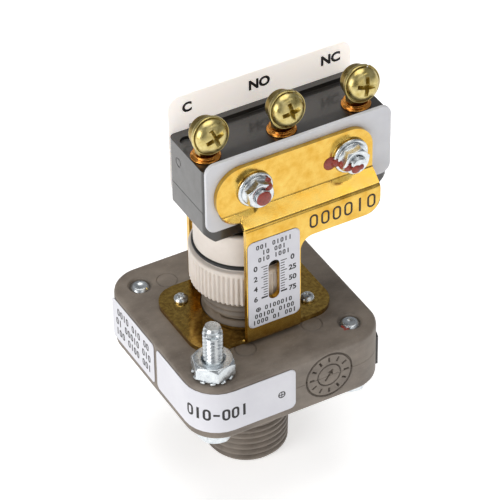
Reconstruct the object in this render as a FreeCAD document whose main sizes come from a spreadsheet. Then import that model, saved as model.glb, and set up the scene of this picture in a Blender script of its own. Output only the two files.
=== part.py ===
"""Open-frame adjustable pressure switch: moulded body, yellow bracket and three-terminal snap switch.

Millimetres. +Z is up along the pressure port's axis, +X runs along the snap switch from its common
terminal to its other two, and the origin is the centre of the port's end face.
"""
import FreeCAD, Part
import os
import re

import Sketcher

from FreeCAD import Placement, Rotation, Vector

SIZES = {
    # how far cutting shapes reach past a surface, and the play between fitted pieces
    "past": 1.0, "slip": 0.05, "hair": 0.02,
    # moulded body
    "base_width": 51.0, "base_corner": 8.5, "base_bottom": 27.0, "base_split": 35.0, "base_top": 42.9,
    "base_edge": 1.2,
    # pressure port: male pipe thread outside, female pipe thread inside
    "port_end_radius": 10.35, "port_root_radius": 10.95, "port_neck": 4.0, "port_neck_relief": 0.2,
    "port_bore_radius": 5.56, "port_bore_depth": 14.0, "passage_radius": 2.0,
    "chamber_radius": 9.0, "chamber_floor": 31.5,
    # threaded hub that carries the knob
    "hub_radius": 10.2, "hub_top": 58.0, "hub_bore_radius": 8.3,
    # diaphragm
    "diaphragm_radius": 14.0, "diaphragm_thickness": 0.8,
    # screws that clamp the two halves
    "screw_spacing": 37.2, "screw_radius": 2.41, "screw_hole_radius": 2.5, "hex_flats": 7.94,
    "hex_head_height": 3.3, "moat_radius": 3.1, "moat_depth": 0.5, "tip_chamfer": 0.8,
    "stud_top": 57.0, "stud_radius": 2.43, "stud_shank_radius": 2.2, "stud_free_from": 47.6,
    # nut and toothed washer on the ground stud
    "ground_nut_flats": 9.53, "ground_nut_height": 3.6, "ground_hole_radius": 2.49,
    "star_radius": 5.2, "star_thickness": 0.9, "star_teeth": 12, "star_notch_radius": 0.55,
    # bracket
    "sheet": 1.2, "plate_length": 37.8, "plate_depth": 26.4, "plate_corner": 6.5, "plate_hole_radius": 10.6,
    "upright_reach": 14.8, "upright_width": 14.5, "joggle_low": 77.4, "joggle_high": 80.8,
    "joggle_slant": 0.45, "bend_outside": 2.0, "bend_inside": 0.8,
    "flange_reach": 10.9, "flange_bottom": 79.2, "flange_top": 93.2, "flange_left": -12.7,
    "flange_right": 28.9, "flange_corner": 6.0,
    "tab_bottom": 70.1, "tab_corner": 4.0, "tab_fillet": 3.5,
    "slot_width": 3.0, "slot_bottom": 55.2, "slot_top": 66.7,
    "small_screw_x": 13.3, "small_screw_y": 7.4, "small_head_radius": 1.8, "small_head_height": 1.5,
    "small_shank_radius": 1.2, "small_shank_length": 6.0, "small_head_round": 0.7,
    # piston and pin
    "piston_radius": 8.22, "piston_bottom": 35.45, "piston_thickness": 2.2, "piston_boss_radius": 4.2,
    "piston_boss_height": 5.0, "pin_radius": 1.5, "pin_top": 71.45,
    # range spring
    "spring_radius": 6.4, "spring_wire": 0.85, "spring_pitch": 3.0, "spring_top": 65.1,
    # adjusting knob
    "knob_bottom": 52.4, "knob_skirt_radius": 13.1, "knob_skirt_top": 62.3, "knob_top": 72.2,
    "knob_cup_radius": 11.9, "knob_bore_radius": 10.27, "knob_web_bottom": 66.3, "knob_web_top": 68.3,
    "knob_cup_bore": 10.4, "knob_pin_hole": 2.2, "groove_bottom": 62.7, "groove_top": 63.9,
    "groove_radius": 11.3, "ring_section": 0.55,
    "thrust_washer_radius": 7.8, "thrust_washer_thickness": 1.0, "thrust_washer_hole": 2.4,
    # snap switch
    "switch_length": 49.2, "switch_depth": 17.4, "switch_centre": 10.0, "switch_bottom": 72.5,
    "switch_seam": 81.2, "switch_top": 93.2, "switch_wall": 1.5, "switch_floor": 2.1, "switch_roof": 83.8,
    "switch_corner": 1.6, "rail_inset": 2.0,
    "switch_end_chamfer": 2.6, "rail_depth": 1.8, "rail_height": 1.2, "rail_left": -9.0,
    "bolt_spacing": 25.4, "bolt_height": 86.2, "bolt_radius": 1.73, "bolt_hole_radius": 1.85,
    "bolt_head_radius": 3.4, "bolt_head_height": 2.2, "bolt_end": 4.6,
    "flat_washer_radius": 4.6, "flat_washer_thickness": 0.9, "switch_nut_flats": 6.35,
    "switch_nut_flange": 3.9, "switch_nut_flange_thickness": 0.7, "switch_nut_height": 2.6,
    "insulator_thickness": 0.9, "insulator_bottom": 76.2, "insulator_top": 95.6, "insulator_corner": 2.5,
    "plate_sheet_bottom": 76.0, "plate_sheet_top": 103.0, "plate_sheet_corner": 3.0,
    # plunger, snap blade and contacts
    "plunger_radius": 1.55, "plunger_bottom": 71.5, "plunger_shoulder": 76.6, "plunger_tip_radius": 0.6,
    "plunger_tip": 77.62, "blade_bottom": 77.7, "blade_thickness": 0.4, "blade_width": 5.6,
    "blade_pivot": -9.0, "blade_tail": 2.0, "blade_end": 25.6, "pivot_bead_radius": 0.35,
    "blade_seat_gap": 0.2, "rivet_neck": 0.95, "contact_x": 23.6, "contact_radius": 1.5, "contact_thickness": 0.5,
    "closed_contact_top": 77.1, "open_contact_bottom": 80.25, "arm_thickness": 0.8, "common_foot_gap": 0.3,
    # terminals and their screws
    "terminal_middle": 9.2, "terminal_spacing": 20.0, "terminal_y": -2.6, "eyelet_radius": 3.6,
    "eyelet_height": 1.2, "eyelet_taper": 0.6, "neck_width": 4.4, "neck_depth": 2.4, "terminal_screw_z": 100.36,
    "terminal_face_y": -3.96, "tab_radius": 3.9, "tab_thickness": 2.6, "tab_width": 5.6, "tab_drop": 5.0,
    "neck_top": 97.0, "terminal_tilt": 12.0,
    "terminal_shank_radius": 1.72, "terminal_tap_radius": 1.79, "terminal_shank_length": 6.6,
    "cup_washer_radius": 4.75, "cup_washer_thickness": 0.8, "cup_washer_gap": 0.5,
    "pan_head_radius": 4.2, "pan_head_height": 2.5, "pan_head_taper": 0.9,
    # stuck-on labels
    "label_thickness": 0.15, "label_gap": 0.02, "label_bottom": 29.5, "label_top": 41.5,
    "front_label_right": -0.4, "front_label_back": -3.0, "side_label_front": -1.6, "side_label_back": 19.8,
    "label_wrap": 9.0, "scale_label_bottom": 48.3, "scale_label_top": 73.9, "scale_label_width": 13.9,
    "scale_label_corner": 1.5,
    "pad_front": -21.0, "pad_back": -12.0, "pad_bottom": 28.6, "pad_top": 37.0, "pad_thickness": 0.4,
}

TERMINALS = {"common": -1, "normally_open": 0, "normally_closed": 1}

doc = FreeCAD.newDocument("pressure_switch")
WORD = re.compile(r"\b(" + "|".join(sorted(SIZES, key=len, reverse=True)) + r")\b")


def make_sheet():
    """Put every driving size in a spreadsheet cell, with its name as the cell's alias."""
    sheet = doc.addObject("Spreadsheet::Sheet", "Sizes")
    for row, (alias, value) in enumerate(SIZES.items(), start=1):
        sheet.set(f"A{row}", alias)
        sheet.set(f"B{row}", str(value))
        sheet.setAlias(f"B{row}", alias)
    doc.recompute()


def formula(text):
    """An expression on the sheet: every size's name gets the sheet's name before it."""
    return WORD.sub(r"Sizes.\1", str(text))


def bind(thing, **formulas):
    """Bind properties to the sheet; a double underscore in a name stands for a dot."""
    for name, text in formulas.items():
        thing.setExpression(name.replace("__", "."), formula(text))


def place(thing, at=(0, 0, 0), turn=None):
    """Turn a thing, then bind its position to the sheet."""
    if turn:
        thing.Placement = Placement(Vector(), turn)
    for axis, text in zip("xyz", at):
        thing.setExpression(f"Placement.Base.{axis}", formula(text))
    return thing


ALONG_Y = Rotation(Vector(1, 0, 0), 90)          # turns a thing's +Z to -Y
ALONG_BACK = Rotation(Vector(1, 0, 0), -90)      # turns a thing's +Z to +Y


def tool_name(kind):
    """A fresh name for a helper shape."""
    return f"{kind}_{len(doc.Objects)}"


def box(length, width, height, at=(0, 0, 0), turn=None):
    thing = doc.addObject("Part::Box", tool_name("box"))
    bind(thing, Length=length, Width=width, Height=height)
    return place(thing, at, turn)


def block(low, high):
    """A box between two corners."""
    spans = [f"({top}) - ({bottom})" for bottom, top in zip(low, high)]
    return box(*spans, at=low)


def cylinder(radius, height, at=(0, 0, 0), turn=None):
    thing = doc.addObject("Part::Cylinder", tool_name("cylinder"))
    bind(thing, Radius=radius, Height=height)
    return place(thing, at, turn)


def cone(low_radius, high_radius, height, at=(0, 0, 0), turn=None):
    thing = doc.addObject("Part::Cone", tool_name("cone"))
    bind(thing, Radius1=low_radius, Radius2=high_radius, Height=height)
    return place(thing, at, turn)


def hexagon(flats, height, at=(0, 0, 0), turn=None):
    thing = doc.addObject("Part::Prism", tool_name("hexagon"))
    thing.Polygon = 6
    bind(thing, Circumradius=f"({flats}) / 2 / cos(30)", Height=height)
    return place(thing, at, turn)


def fuse(*things):
    thing = doc.addObject("Part::MultiFuse", tool_name("fuse"))
    thing.Shapes = list(things)
    thing.Refine = True
    return thing


def cut(base, *tools):
    for tool in tools:
        thing = doc.addObject("Part::Cut", tool_name("cut"))
        thing.Base = base
        thing.Tool = tool
        base = thing
    return base


def common(first, second):
    thing = doc.addObject("Part::Common", tool_name("common"))
    thing.Base = first
    thing.Tool = second
    return thing


def group(*things):
    """Separate solids that share one node."""
    thing = doc.addObject("Part::Compound", tool_name("group"))
    thing.Links = list(things)
    return thing


def edges_where(shape, test):
    """Numbers of the edges whose middle point and direction pass a test."""
    chosen = []
    for number, edge in enumerate(shape.Edges, start=1):
        middle = edge.valueAt((edge.FirstParameter + edge.LastParameter) / 2)
        along = edge.tangentAt(edge.FirstParameter)
        if test(middle, along, edge):
            chosen.append(number)
    return chosen


def rounded(base, radius, test):
    """Part fillet of the edges that pass a test."""
    doc.recompute()
    thing = doc.addObject("Part::Fillet", tool_name("fillet"))
    thing.Base = base
    thing.Edges = [(number, radius, radius) for number in edges_where(base.Shape, test)]
    return thing


def upright_edge(middle, along, edge):
    return abs(along.z) > 0.99


def edge_along_y(middle, along, edge):
    return abs(along.y) > 0.99


# ---- PartDesign helpers ----

def new_body(name):
    return doc.addObject("PartDesign::Body", name)


def plane_of(body, role):
    return next(f for f in body.Origin.OriginFeatures if f.Role == role)


def primitive(body, kind, at=(0, 0, 0), **formulas):
    """Add or take away a PartDesign primitive, bound to the sheet."""
    thing = body.newObject(f"PartDesign::{kind}", tool_name(kind))
    bind(thing, **formulas)
    place(thing, at)
    doc.recompute()
    return thing


def dress(body, kind, size, property_name, test):
    """PartDesign fillet or chamfer of the edges that pass a test."""
    doc.recompute()
    base = body.Tip
    thing = body.newObject(f"PartDesign::{kind}", tool_name(kind))
    names = [f"Edge{number}" for number in edges_where(base.Shape, test)]
    thing.Base = (base, names)
    bind(thing, **{property_name: size})
    doc.recompute()
    return thing


def outline(body, points, role="XZ_Plane"):
    """Closed sketch of straight lines whose corners are bound to the sheet."""
    sketch = body.newObject("Sketcher::SketchObject", tool_name("outline"))
    sketch.AttachmentSupport = (plane_of(body, role), [""])
    sketch.MapMode = "FlatFace"
    count = len(points)
    start = [Vector(10, 0, 0) + Rotation(Vector(0, 0, 1), 360 * i / count).multVec(Vector(5, 0, 0))
             for i in range(count)]
    for index in range(count):
        sketch.addGeometry(Part.LineSegment(start[index], start[(index + 1) % count]), False)
    for index in range(count):
        sketch.addConstraint(Sketcher.Constraint("Coincident", index, 2, (index + 1) % count, 1))
    for index, corner in enumerate(points):
        for kind, text, guess in zip(("DistanceX", "DistanceY"), corner, (start[index].x, start[index].y)):
            number = sketch.addConstraint(Sketcher.Constraint(kind, -1, 1, index, 1, guess))
            sketch.renameConstraint(number, f"{kind}_{index}")
            sketch.setExpression(f"Constraints.{kind}_{index}", formula(text))
    doc.recompute()
    return sketch


def revolve(body, points):
    """Turn an outline in the XZ plane about the Z axis."""
    sketch = outline(body, points)
    thing = body.newObject("PartDesign::Revolution", tool_name("revolution"))
    thing.Profile = sketch
    thing.ReferenceAxis = (sketch, ["V_Axis"])
    thing.Angle = 360
    doc.recompute()
    return thing


# ---- moulded body and port ----

def rounded_block(body, bottom, top, rounded_end):
    """Square block with rounded corners and one rounded-over end."""
    primitive(body, "AdditiveBox", ("-base_width / 2", "-base_width / 2", bottom),
              Length="base_width", Width="base_width", Height=f"{top} - {bottom}")
    dress(body, "Fillet", "base_corner", "Radius", upright_edge)
    level = SIZES[rounded_end]
    dress(body, "Fillet", "base_edge", "Radius", lambda middle, along, edge: abs(middle.z - level) < 0.01)


def corner_places():
    """Signs of the four screw corners."""
    return [(x, y) for x in (-1, 1) for y in (-1, 1)]


def corner(sign):
    return f"{sign} * screw_spacing / 2"


def make_lower_body():
    body = new_body("lower_body")
    rounded_block(body, "base_bottom", "base_split", "base_bottom")
    primitive(body, "AdditiveCone", Radius1="port_end_radius", Radius2="port_root_radius",
              Height="base_bottom - port_neck")
    primitive(body, "AdditiveCylinder", (0, 0, "base_bottom - port_neck"), Radius="port_root_radius - port_neck_relief",
              Height="port_neck + past")
    primitive(body, "SubtractiveCylinder", Radius="port_bore_radius", Height="port_bore_depth")
    primitive(body, "SubtractiveCylinder", Radius="passage_radius", Height="base_split")
    primitive(body, "SubtractiveCylinder", (0, 0, "chamber_floor"), Radius="chamber_radius",
              Height="base_split - chamber_floor")
    primitive(body, "SubtractiveCylinder", (0, 0, "base_split - diaphragm_thickness / 2"),
              Radius="diaphragm_radius + 2 * slip", Height="diaphragm_thickness")
    for x, y in corner_places():
        primitive(body, "SubtractiveCylinder", (corner(x), corner(y), "base_bottom - past"),
                  Radius="screw_hole_radius", Height="base_split")
    return body


def make_upper_body():
    body = new_body("upper_body")
    rounded_block(body, "base_split", "base_top", "base_top")
    primitive(body, "AdditiveCylinder", (0, 0, "base_split"), Radius="hub_radius",
              Height="hub_top - base_split")
    primitive(body, "SubtractiveCylinder", (0, 0, "base_split"), Radius="hub_bore_radius",
              Height="hub_top - base_split")
    primitive(body, "SubtractiveCylinder", (0, 0, "base_split - diaphragm_thickness / 2"),
              Radius="diaphragm_radius + 2 * slip", Height="diaphragm_thickness")
    for x, y in corner_places():
        primitive(body, "SubtractiveCylinder", (corner(x), corner(y), "base_split - past"),
                  Radius="screw_hole_radius", Height="base_top")
        if (x, y) != (-1, -1):
            primitive(body, "SubtractiveCylinder", (corner(x), corner(y), "base_top - moat_depth"),
                      Radius="moat_radius", Height="moat_depth + past")
    for x, y in ((-1, -1), (1, 1)):
        primitive(body, "SubtractiveCylinder",
                  (f"{x} * small_screw_x", f"{-y} * small_screw_y", "base_top - small_shank_length + sheet"),
                  Radius="small_shank_radius + slip", Height="small_shank_length")
    return body


GROUND = ("-screw_spacing / 2", "-screw_spacing / 2")


def clamp_screw(x, y, radius, top, *more):
    """Hex-head screw that stands upside down through both halves."""
    at = (corner(x), corner(y))
    head = hexagon("hex_flats", "hex_head_height", (*at, "base_bottom - hex_head_height"))
    shank = cylinder(radius, f"{top} - base_bottom", (*at, "base_bottom"))
    whole = fuse(head, shank, *more)
    level = SIZES[top]
    doc.recompute()
    end = edges_where(whole.Shape, lambda middle, along, edge: abs(middle.z - level) < 0.01)
    thing = doc.addObject("Part::Chamfer", tool_name("tip"))
    thing.Base = whole
    thing.Edges = [(number, SIZES["tip_chamfer"], SIZES["tip_chamfer"]) for number in end]
    return thing


def make_body_screws():
    return group(*[clamp_screw(x, y, "screw_radius", "base_top")
                   for x, y in corner_places() if (x, y) != (-1, -1)])


def make_ground_stud():
    """The long screw, whose free end above the nut is thicker than its shank."""
    free_end = cylinder("stud_radius", "stud_top - stud_free_from", (*GROUND, "stud_free_from"))
    return clamp_screw(-1, -1, "stud_shank_radius", "stud_top", free_end)


def make_ground_nut():
    floor = "base_top + star_thickness + 3 * hair"
    nut = hexagon("ground_nut_flats", "ground_nut_height", (*GROUND, floor))
    return cut(nut, cylinder("ground_hole_radius", "ground_nut_height", (*GROUND, floor)))


def make_star_washer():
    """Toothed washer: a disc whose rim is notched all round."""
    level = "base_top + 2 * hair"
    at = (*GROUND, level)
    disc = cut(cylinder("star_radius", "star_thickness", at), cylinder("ground_hole_radius", "star_thickness", at))
    notches = []
    for tooth in range(int(SIZES["star_teeth"])):
        angle = 360 / SIZES["star_teeth"] * (tooth + 0.5)
        notches.append(cylinder("star_notch_radius", "star_thickness", (
            f"{GROUND[0]} + star_radius * cos({angle})", f"{GROUND[1]} + star_radius * sin({angle})", level)))
    return cut(disc, fuse(*notches))


def make_diaphragm():
    return cylinder("diaphragm_radius", "diaphragm_thickness", (0, 0, "base_split - diaphragm_thickness / 2"))


# ---- bracket ----

def make_bent_strip():
    """The bracket's side profile, bent as one strip that is still too wide."""
    strip = new_body("bent_strip")
    half = [("0", "base_top"), ("upright_reach", "base_top"), ("upright_reach", "joggle_low"),
            ("flange_reach", "joggle_high"), ("flange_reach", "flange_top"),
            ("flange_reach - sheet", "flange_top"), ("flange_reach - sheet", "joggle_high - joggle_slant * sheet"),
            ("upright_reach - sheet", "joggle_low - joggle_slant * sheet"), ("upright_reach - sheet", "base_top + sheet"),
            ("0", "base_top + sheet")]
    right = half[1:-1]
    left = [(f"-({y})", z) for y, z in reversed(right)]
    sketch = outline(strip, [(y, z) for y, z in right + left], "YZ_Plane")
    pad = strip.newObject("PartDesign::Pad", "strip_pad")
    pad.Profile = sketch
    pad.Midplane = True
    bind(pad, Length="4 * plate_length")
    doc.recompute()
    drop = SIZES["joggle_slant"] * SIZES["sheet"]
    outside = {SIZES["base_top"], SIZES["joggle_low"], SIZES["joggle_high"] - drop}
    inside = {SIZES["base_top"] + SIZES["sheet"], SIZES["joggle_low"] - drop, SIZES["joggle_high"]}
    for radius, levels in (("bend_outside", outside), ("bend_inside", inside)):
        dress(strip, "Fillet", radius, "Radius", lambda middle, along, edge: (
            abs(along.x) > 0.99 and any(abs(middle.z - level) < 0.01 for level in levels)))
    return strip


def flange_shape(depth_at, left_side):
    """Outline of one upright with its flange, as a prism along Y."""
    def slab(low, high):
        return block((low[0], depth_at, low[1]), (high[0], f"{depth_at} + upright_reach + past", high[1]))

    def round_end(radius, x, z):
        return cylinder(radius, "upright_reach + past", (x, depth_at, z), ALONG_BACK)

    half_height = "(flange_top - flange_bottom) / 2"
    centre = "(flange_top + flange_bottom) / 2"
    right = "flange_right - flange_corner"
    return fuse(
        slab(("-upright_width / 2", "base_top - past"), ("upright_width / 2", "flange_top - past")),
        slab((f"flange_left + {half_height}", "flange_bottom"), (right, "flange_top")),
        round_end(half_height, f"flange_left + {half_height}", centre),
        round_end("flange_corner", right, "flange_top - flange_corner"),
        *left_side(slab, round_end, right))


def front_side(slab, round_end, right):
    """The front flange runs down into a tab that carries the part's date stamp."""
    tab_right = "flange_right - tab_corner"
    return [slab((right, "tab_bottom + tab_corner"), ("flange_right", "flange_top - flange_corner")),
            slab(("0", "tab_bottom"), (tab_right, "flange_bottom + past")),
            slab((tab_right, "tab_bottom + tab_corner"), ("flange_right", "flange_bottom + past")),
            round_end("tab_corner", tab_right, "tab_bottom + tab_corner"),
            cut(slab(("0", "tab_bottom - tab_fillet"), ("upright_width / 2 + tab_fillet", "tab_bottom + past")),
                round_end("tab_fillet", "upright_width / 2 + tab_fillet", "tab_bottom - tab_fillet"))]


def back_side(slab, round_end, right):
    """The rear flange ends level, with its lower corner rounded like the upper one."""
    return [round_end("flange_corner", right, "flange_bottom + flange_corner"),
            slab((right, "flange_bottom + flange_corner"), ("flange_right", "flange_top - flange_corner"))]


def slot_cutter(front, depth):
    """The upright window with round ends, through which the ring on the knob is read."""
    low, high = "slot_bottom + slot_width / 2", "slot_top - slot_width / 2"
    return fuse(block(("-slot_width / 2", front, low), ("slot_width / 2", f"{front} + {depth}", high)),
                cylinder("slot_width / 2", depth, (0, front, low), ALONG_BACK),
                cylinder("slot_width / 2", depth, (0, front, high), ALONG_BACK))


def make_mounting_bracket():
    """One bent sheet: plate, two uprights, an inward joggle at each top and a flange above it."""
    plate = block(("-plate_length / 2", "-plate_depth / 2", "base_top - past"),
                  ("plate_length / 2", "plate_depth / 2", "base_top + sheet + past"))
    plate = rounded(plate, SIZES["plate_corner"], upright_edge)
    keep = fuse(plate, flange_shape("-upright_reach - past", front_side), flange_shape("0", back_side))
    bent = common(make_bent_strip(), keep)
    hole = cylinder("plate_hole_radius", "sheet + 2 * past", (0, 0, "base_top - past"))
    slot = slot_cutter("-upright_reach - past", "sheet + 2 * past")
    bolts = [cylinder("bolt_hole_radius", "3 * upright_reach", (x, "-1.5 * upright_reach", "bolt_height"),
                      ALONG_BACK) for x in bolt_places()]
    screws = [cylinder("small_shank_radius + 2 * slip", "sheet + 2 * past", (x, y, "base_top - past"))
              for x, y in small_screw_places()]
    return cut(bent, hole, slot, *bolts, *screws)


def bolt_places():
    return [f"switch_centre + {sign} * bolt_spacing / 2" for sign in (-1, 1)]


def small_screw_places():
    return [(f"{sign} * small_screw_x", f"{-sign} * small_screw_y") for sign in (-1, 1)]


def make_bracket_screws():
    screws = []
    for x, y in small_screw_places():
        head = cylinder("small_head_radius", "small_head_height", (x, y, "base_top + sheet"))
        shank = cylinder("small_shank_radius", "small_shank_length - 4 * slip",
                         (x, y, "base_top + sheet - small_shank_length + 4 * slip"))
        level = SIZES["base_top"] + SIZES["sheet"] + SIZES["small_head_height"]
        whole = fuse(head, shank)
        screws.append(rounded(whole, SIZES["small_head_round"],
                              lambda middle, along, edge: abs(middle.z - level) < 0.01))
    return group(*screws)


# ---- piston, spring and knob ----

def make_piston():
    body = new_body("piston")
    top = "piston_bottom + piston_thickness"
    revolve(body, [("pin_radius", "piston_bottom"), ("piston_radius", "piston_bottom"), ("piston_radius", top),
                   ("piston_boss_radius", top), ("piston_boss_radius", f"{top} + piston_boss_height"),
                   ("pin_radius", f"{top} + piston_boss_height")])
    return body


def make_operating_pin():
    return cylinder("pin_radius - hair / 2", "pin_top - piston_bottom - 2 * slip", (0, 0, "piston_bottom + 2 * slip"))


def make_range_spring():
    """Coil spring between the piston and the knob's thrust washer."""
    foot = "piston_bottom + piston_thickness + slip"
    path = doc.addObject("Part::Helix", tool_name("coil_path"))
    bind(path, Pitch="spring_pitch", Height=f"spring_top - ({foot}) - 2 * spring_wire", Radius="spring_radius")
    place(path, (0, 0, f"{foot} + spring_wire"))
    section = doc.addObject("Part::Circle", tool_name("wire_section"))
    bind(section, Radius="spring_wire")
    place(section, ("spring_radius", 0, f"{foot} + spring_wire"), ALONG_Y)
    coil = doc.addObject("Part::Sweep", tool_name("coil"))
    coil.Sections = [section]
    coil.Spine = (path, [])
    coil.Solid = True
    coil.Frenet = True
    return coil


def make_thrust_washer():
    at = (0, 0, "spring_top + slip")
    return cut(cylinder("thrust_washer_radius", "thrust_washer_thickness", at),
               cylinder("thrust_washer_hole", "thrust_washer_thickness", at))


def make_adjusting_knob():
    body = new_body("adjusting_knob")
    revolve(body, [
        ("knob_bore_radius", "knob_bottom"), ("knob_skirt_radius", "knob_bottom"),
        ("knob_skirt_radius", "knob_skirt_top"), ("knob_cup_radius", "knob_skirt_top"),
        ("knob_cup_radius", "groove_bottom"), ("groove_radius", "groove_bottom"),
        ("groove_radius", "groove_top"), ("knob_cup_radius", "groove_top"), ("knob_cup_radius", "knob_top"),
        ("knob_cup_bore", "knob_top"), ("knob_cup_bore", "knob_web_top"), ("knob_pin_hole", "knob_web_top"),
        ("knob_pin_hole", "knob_web_bottom"), ("knob_bore_radius", "knob_web_bottom")])
    return body


def make_indicator_ring():
    ring = doc.addObject("Part::Torus", tool_name("ring"))
    bind(ring, Radius1="groove_radius + ring_section", Radius2="ring_section")
    return place(ring, (0, 0, "(groove_bottom + groove_top) / 2"))


# ---- snap switch ----

LEFT = "switch_centre - switch_length / 2"
RIGHT = "switch_centre + switch_length / 2"


def shell(body, bottom, top, floor, roof):
    """Rectangular moulding with a hollow between two levels."""
    primitive(body, "AdditiveBox", (LEFT, "-switch_depth / 2", bottom), Length="switch_length",
              Width="switch_depth", Height=f"{top} - {bottom}")
    if bottom == "switch_bottom":
        dress(body, "Chamfer", "switch_end_chamfer", "Size", lambda middle, along, edge: (
            edge_along_y(middle, along, edge) and abs(middle.z - SIZES[bottom]) < 0.01))
    dress(body, "Fillet", "switch_corner", "Radius", upright_edge)
    primitive(body, "SubtractiveBox", (f"{LEFT} + switch_wall", "-switch_depth / 2 + switch_wall", floor),
              Length="switch_length - 2 * switch_wall", Width="switch_depth - 2 * switch_wall",
              Height=f"{roof} - ({floor})")


def make_switch_case():
    body = new_body("switch_case")
    shell(body, "switch_bottom", "switch_seam", "switch_bottom + switch_floor", "switch_seam")
    primitive(body, "SubtractiveCylinder", (0, 0, "switch_bottom - past"), Radius="plunger_radius + slip",
              Height="switch_floor + 2 * past")
    return body


def terminal_place(step):
    return f"terminal_middle + {step} * terminal_spacing"


def make_switch_cover():
    body = new_body("switch_cover")
    shell(body, "switch_seam", "switch_top", "switch_seam", "switch_roof")
    primitive(body, "AdditiveBox", ("rail_left", "switch_depth / 2 - rail_depth", "switch_top"),
              Length=f"{RIGHT} - rail_inset - rail_left", Width="rail_depth", Height="rail_height")
    for step in TERMINALS.values():
        primitive(body, "SubtractiveBox", (f"{terminal_place(step)} - neck_width / 2 - slip",
                                           "terminal_y - neck_depth / 2 - slip", "switch_roof - past"),
                  Length="neck_width + 2 * slip", Width="neck_depth + 2 * slip",
                  Height="switch_top - switch_roof + 2 * past")
    holes = [cylinder("bolt_hole_radius", "2 * switch_depth", (x, "-switch_depth", "bolt_height"), ALONG_BACK)
             for x in bolt_places()]
    return cut(body, *holes)


def make_switch_plunger():
    body = new_body("switch_plunger")
    revolve(body, [("0", "plunger_bottom"), ("plunger_radius", "plunger_bottom"),
                   ("plunger_radius", "plunger_shoulder"), ("plunger_tip_radius", "plunger_shoulder"),
                   ("plunger_tip_radius", "plunger_tip"), ("0", "plunger_tip")])
    return body


def make_snap_blade():
    """Flat spring with a round bead that it rocks on and a hole for the contact rivet."""
    blade = block(("blade_pivot - blade_tail", "-blade_width / 2", "blade_bottom"),
                  ("blade_end", "blade_width / 2", "blade_bottom + blade_thickness"))
    bead = cylinder("pivot_bead_radius", "blade_width",
                    ("blade_pivot", "blade_width / 2", "blade_bottom + blade_thickness / 2"), ALONG_Y)
    rivet_hole = cylinder("rivet_neck + slip", "blade_thickness + 2 * past", ("contact_x", 0, "blade_bottom - past"))
    return cut(fuse(blade, bead), rivet_hole)


def make_moving_contact():
    """Rivet through the blade, with a contact face on each side."""
    blade_top = "blade_bottom + blade_thickness"
    return fuse(
        cylinder("contact_radius", "contact_thickness", ("contact_x", 0, "blade_bottom - contact_thickness")),
        cylinder("rivet_neck", "blade_thickness", ("contact_x", 0, "blade_bottom")),
        cylinder("contact_radius", "contact_thickness", ("contact_x", 0, blade_top)))


def make_blade_anchor():
    """Post that the blade rocks on."""
    return block(("blade_pivot - blade_tail - past", "-blade_width / 2", "switch_bottom + switch_floor"),
                 ("blade_pivot + past", "blade_width / 2", "blade_bottom - blade_seat_gap"))


def fixed_contact(bottom):
    return cylinder("contact_radius", "contact_thickness", ("contact_x", 0, bottom))


def make_normally_closed_contact():
    return fixed_contact("closed_contact_top - contact_thickness")


def make_normally_open_contact():
    return fixed_contact("open_contact_bottom")


def on_screw_axis(x, distance):
    """A point on a terminal screw's tilted axis, a distance out from the tab's front face."""
    return (x, f"terminal_face_y - ({distance}) * cos(terminal_tilt)",
            f"terminal_screw_z + ({distance}) * sin(terminal_tilt)")


SCREW_TURN = Rotation(Vector(1, 0, 0), 90 - SIZES["terminal_tilt"])   # turns a thing's +Z along the screw


def terminal(step, foot_level, *inside):
    """Brass terminal: a neck up through the cover, an eyelet on its top and a tilted, tapped tab."""
    x = terminal_place(step)
    neck = block((f"{x} - neck_width / 2", "terminal_y - neck_depth / 2", foot_level),
                 (f"{x} + neck_width / 2", "terminal_y + neck_depth / 2", "neck_top"))
    eyelet = cone("eyelet_radius", "eyelet_radius - eyelet_taper", "eyelet_height",
                  (x, "terminal_y", "switch_top + hair"))
    tab = cylinder("tab_radius", "tab_thickness", on_screw_axis(x, "-tab_thickness"), SCREW_TURN)
    back_x, back_y, back_z = on_screw_axis(x, "-tab_thickness")
    web = box("tab_width", "tab_drop", "tab_thickness", (
        f"{back_x} - tab_width / 2", f"{back_y} - tab_drop * sin(terminal_tilt)",
        f"{back_z} - tab_drop * cos(terminal_tilt)"), SCREW_TURN)
    tap = cylinder("terminal_tap_radius", "3 * tab_thickness", on_screw_axis(x, "-2 * tab_thickness"), SCREW_TURN)
    return cut(fuse(neck, eyelet, tab, web, *inside), tap)


def make_terminal_common():
    return terminal(-1, "blade_bottom + blade_thickness + common_foot_gap")


def make_terminal_normally_open():
    """Its foot reaches over the blade to carry the upper fixed contact."""
    low = "open_contact_bottom + contact_thickness"
    arm = block((f"{terminal_place(0)} - neck_width / 2", "terminal_y - neck_depth / 2", low),
                ("contact_x + contact_radius", "contact_radius", f"{low} + arm_thickness"))
    return terminal(0, low, arm)


def make_terminal_normally_closed():
    """Its foot reaches under the blade to carry the lower fixed contact."""
    top = "closed_contact_top - contact_thickness"
    arm = block(("contact_x - contact_radius", "terminal_y - neck_depth / 2", f"{top} - arm_thickness"),
                (f"{terminal_place(1)} + neck_width / 2", "contact_radius", top))
    return terminal(1, f"{top} - arm_thickness", arm)


def make_clamp_washer(step):
    at = on_screw_axis(terminal_place(step), "cup_washer_gap")
    return cut(cylinder("cup_washer_radius", "cup_washer_thickness", at, SCREW_TURN),
               cylinder("terminal_tap_radius", "cup_washer_thickness", at, SCREW_TURN))


def make_terminal_screw(step):
    x = terminal_place(step)
    seat = "cup_washer_gap + cup_washer_thickness + slip"
    shank = cylinder("terminal_shank_radius", "terminal_shank_length",
                     on_screw_axis(x, f"{seat} - terminal_shank_length"), SCREW_TURN)
    head = cone("pan_head_radius", "pan_head_radius - pan_head_taper", "pan_head_height",
                on_screw_axis(x, seat), SCREW_TURN)
    return fuse(shank, head)


# ---- sheets and fasteners that hold the switch in the bracket ----

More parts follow.
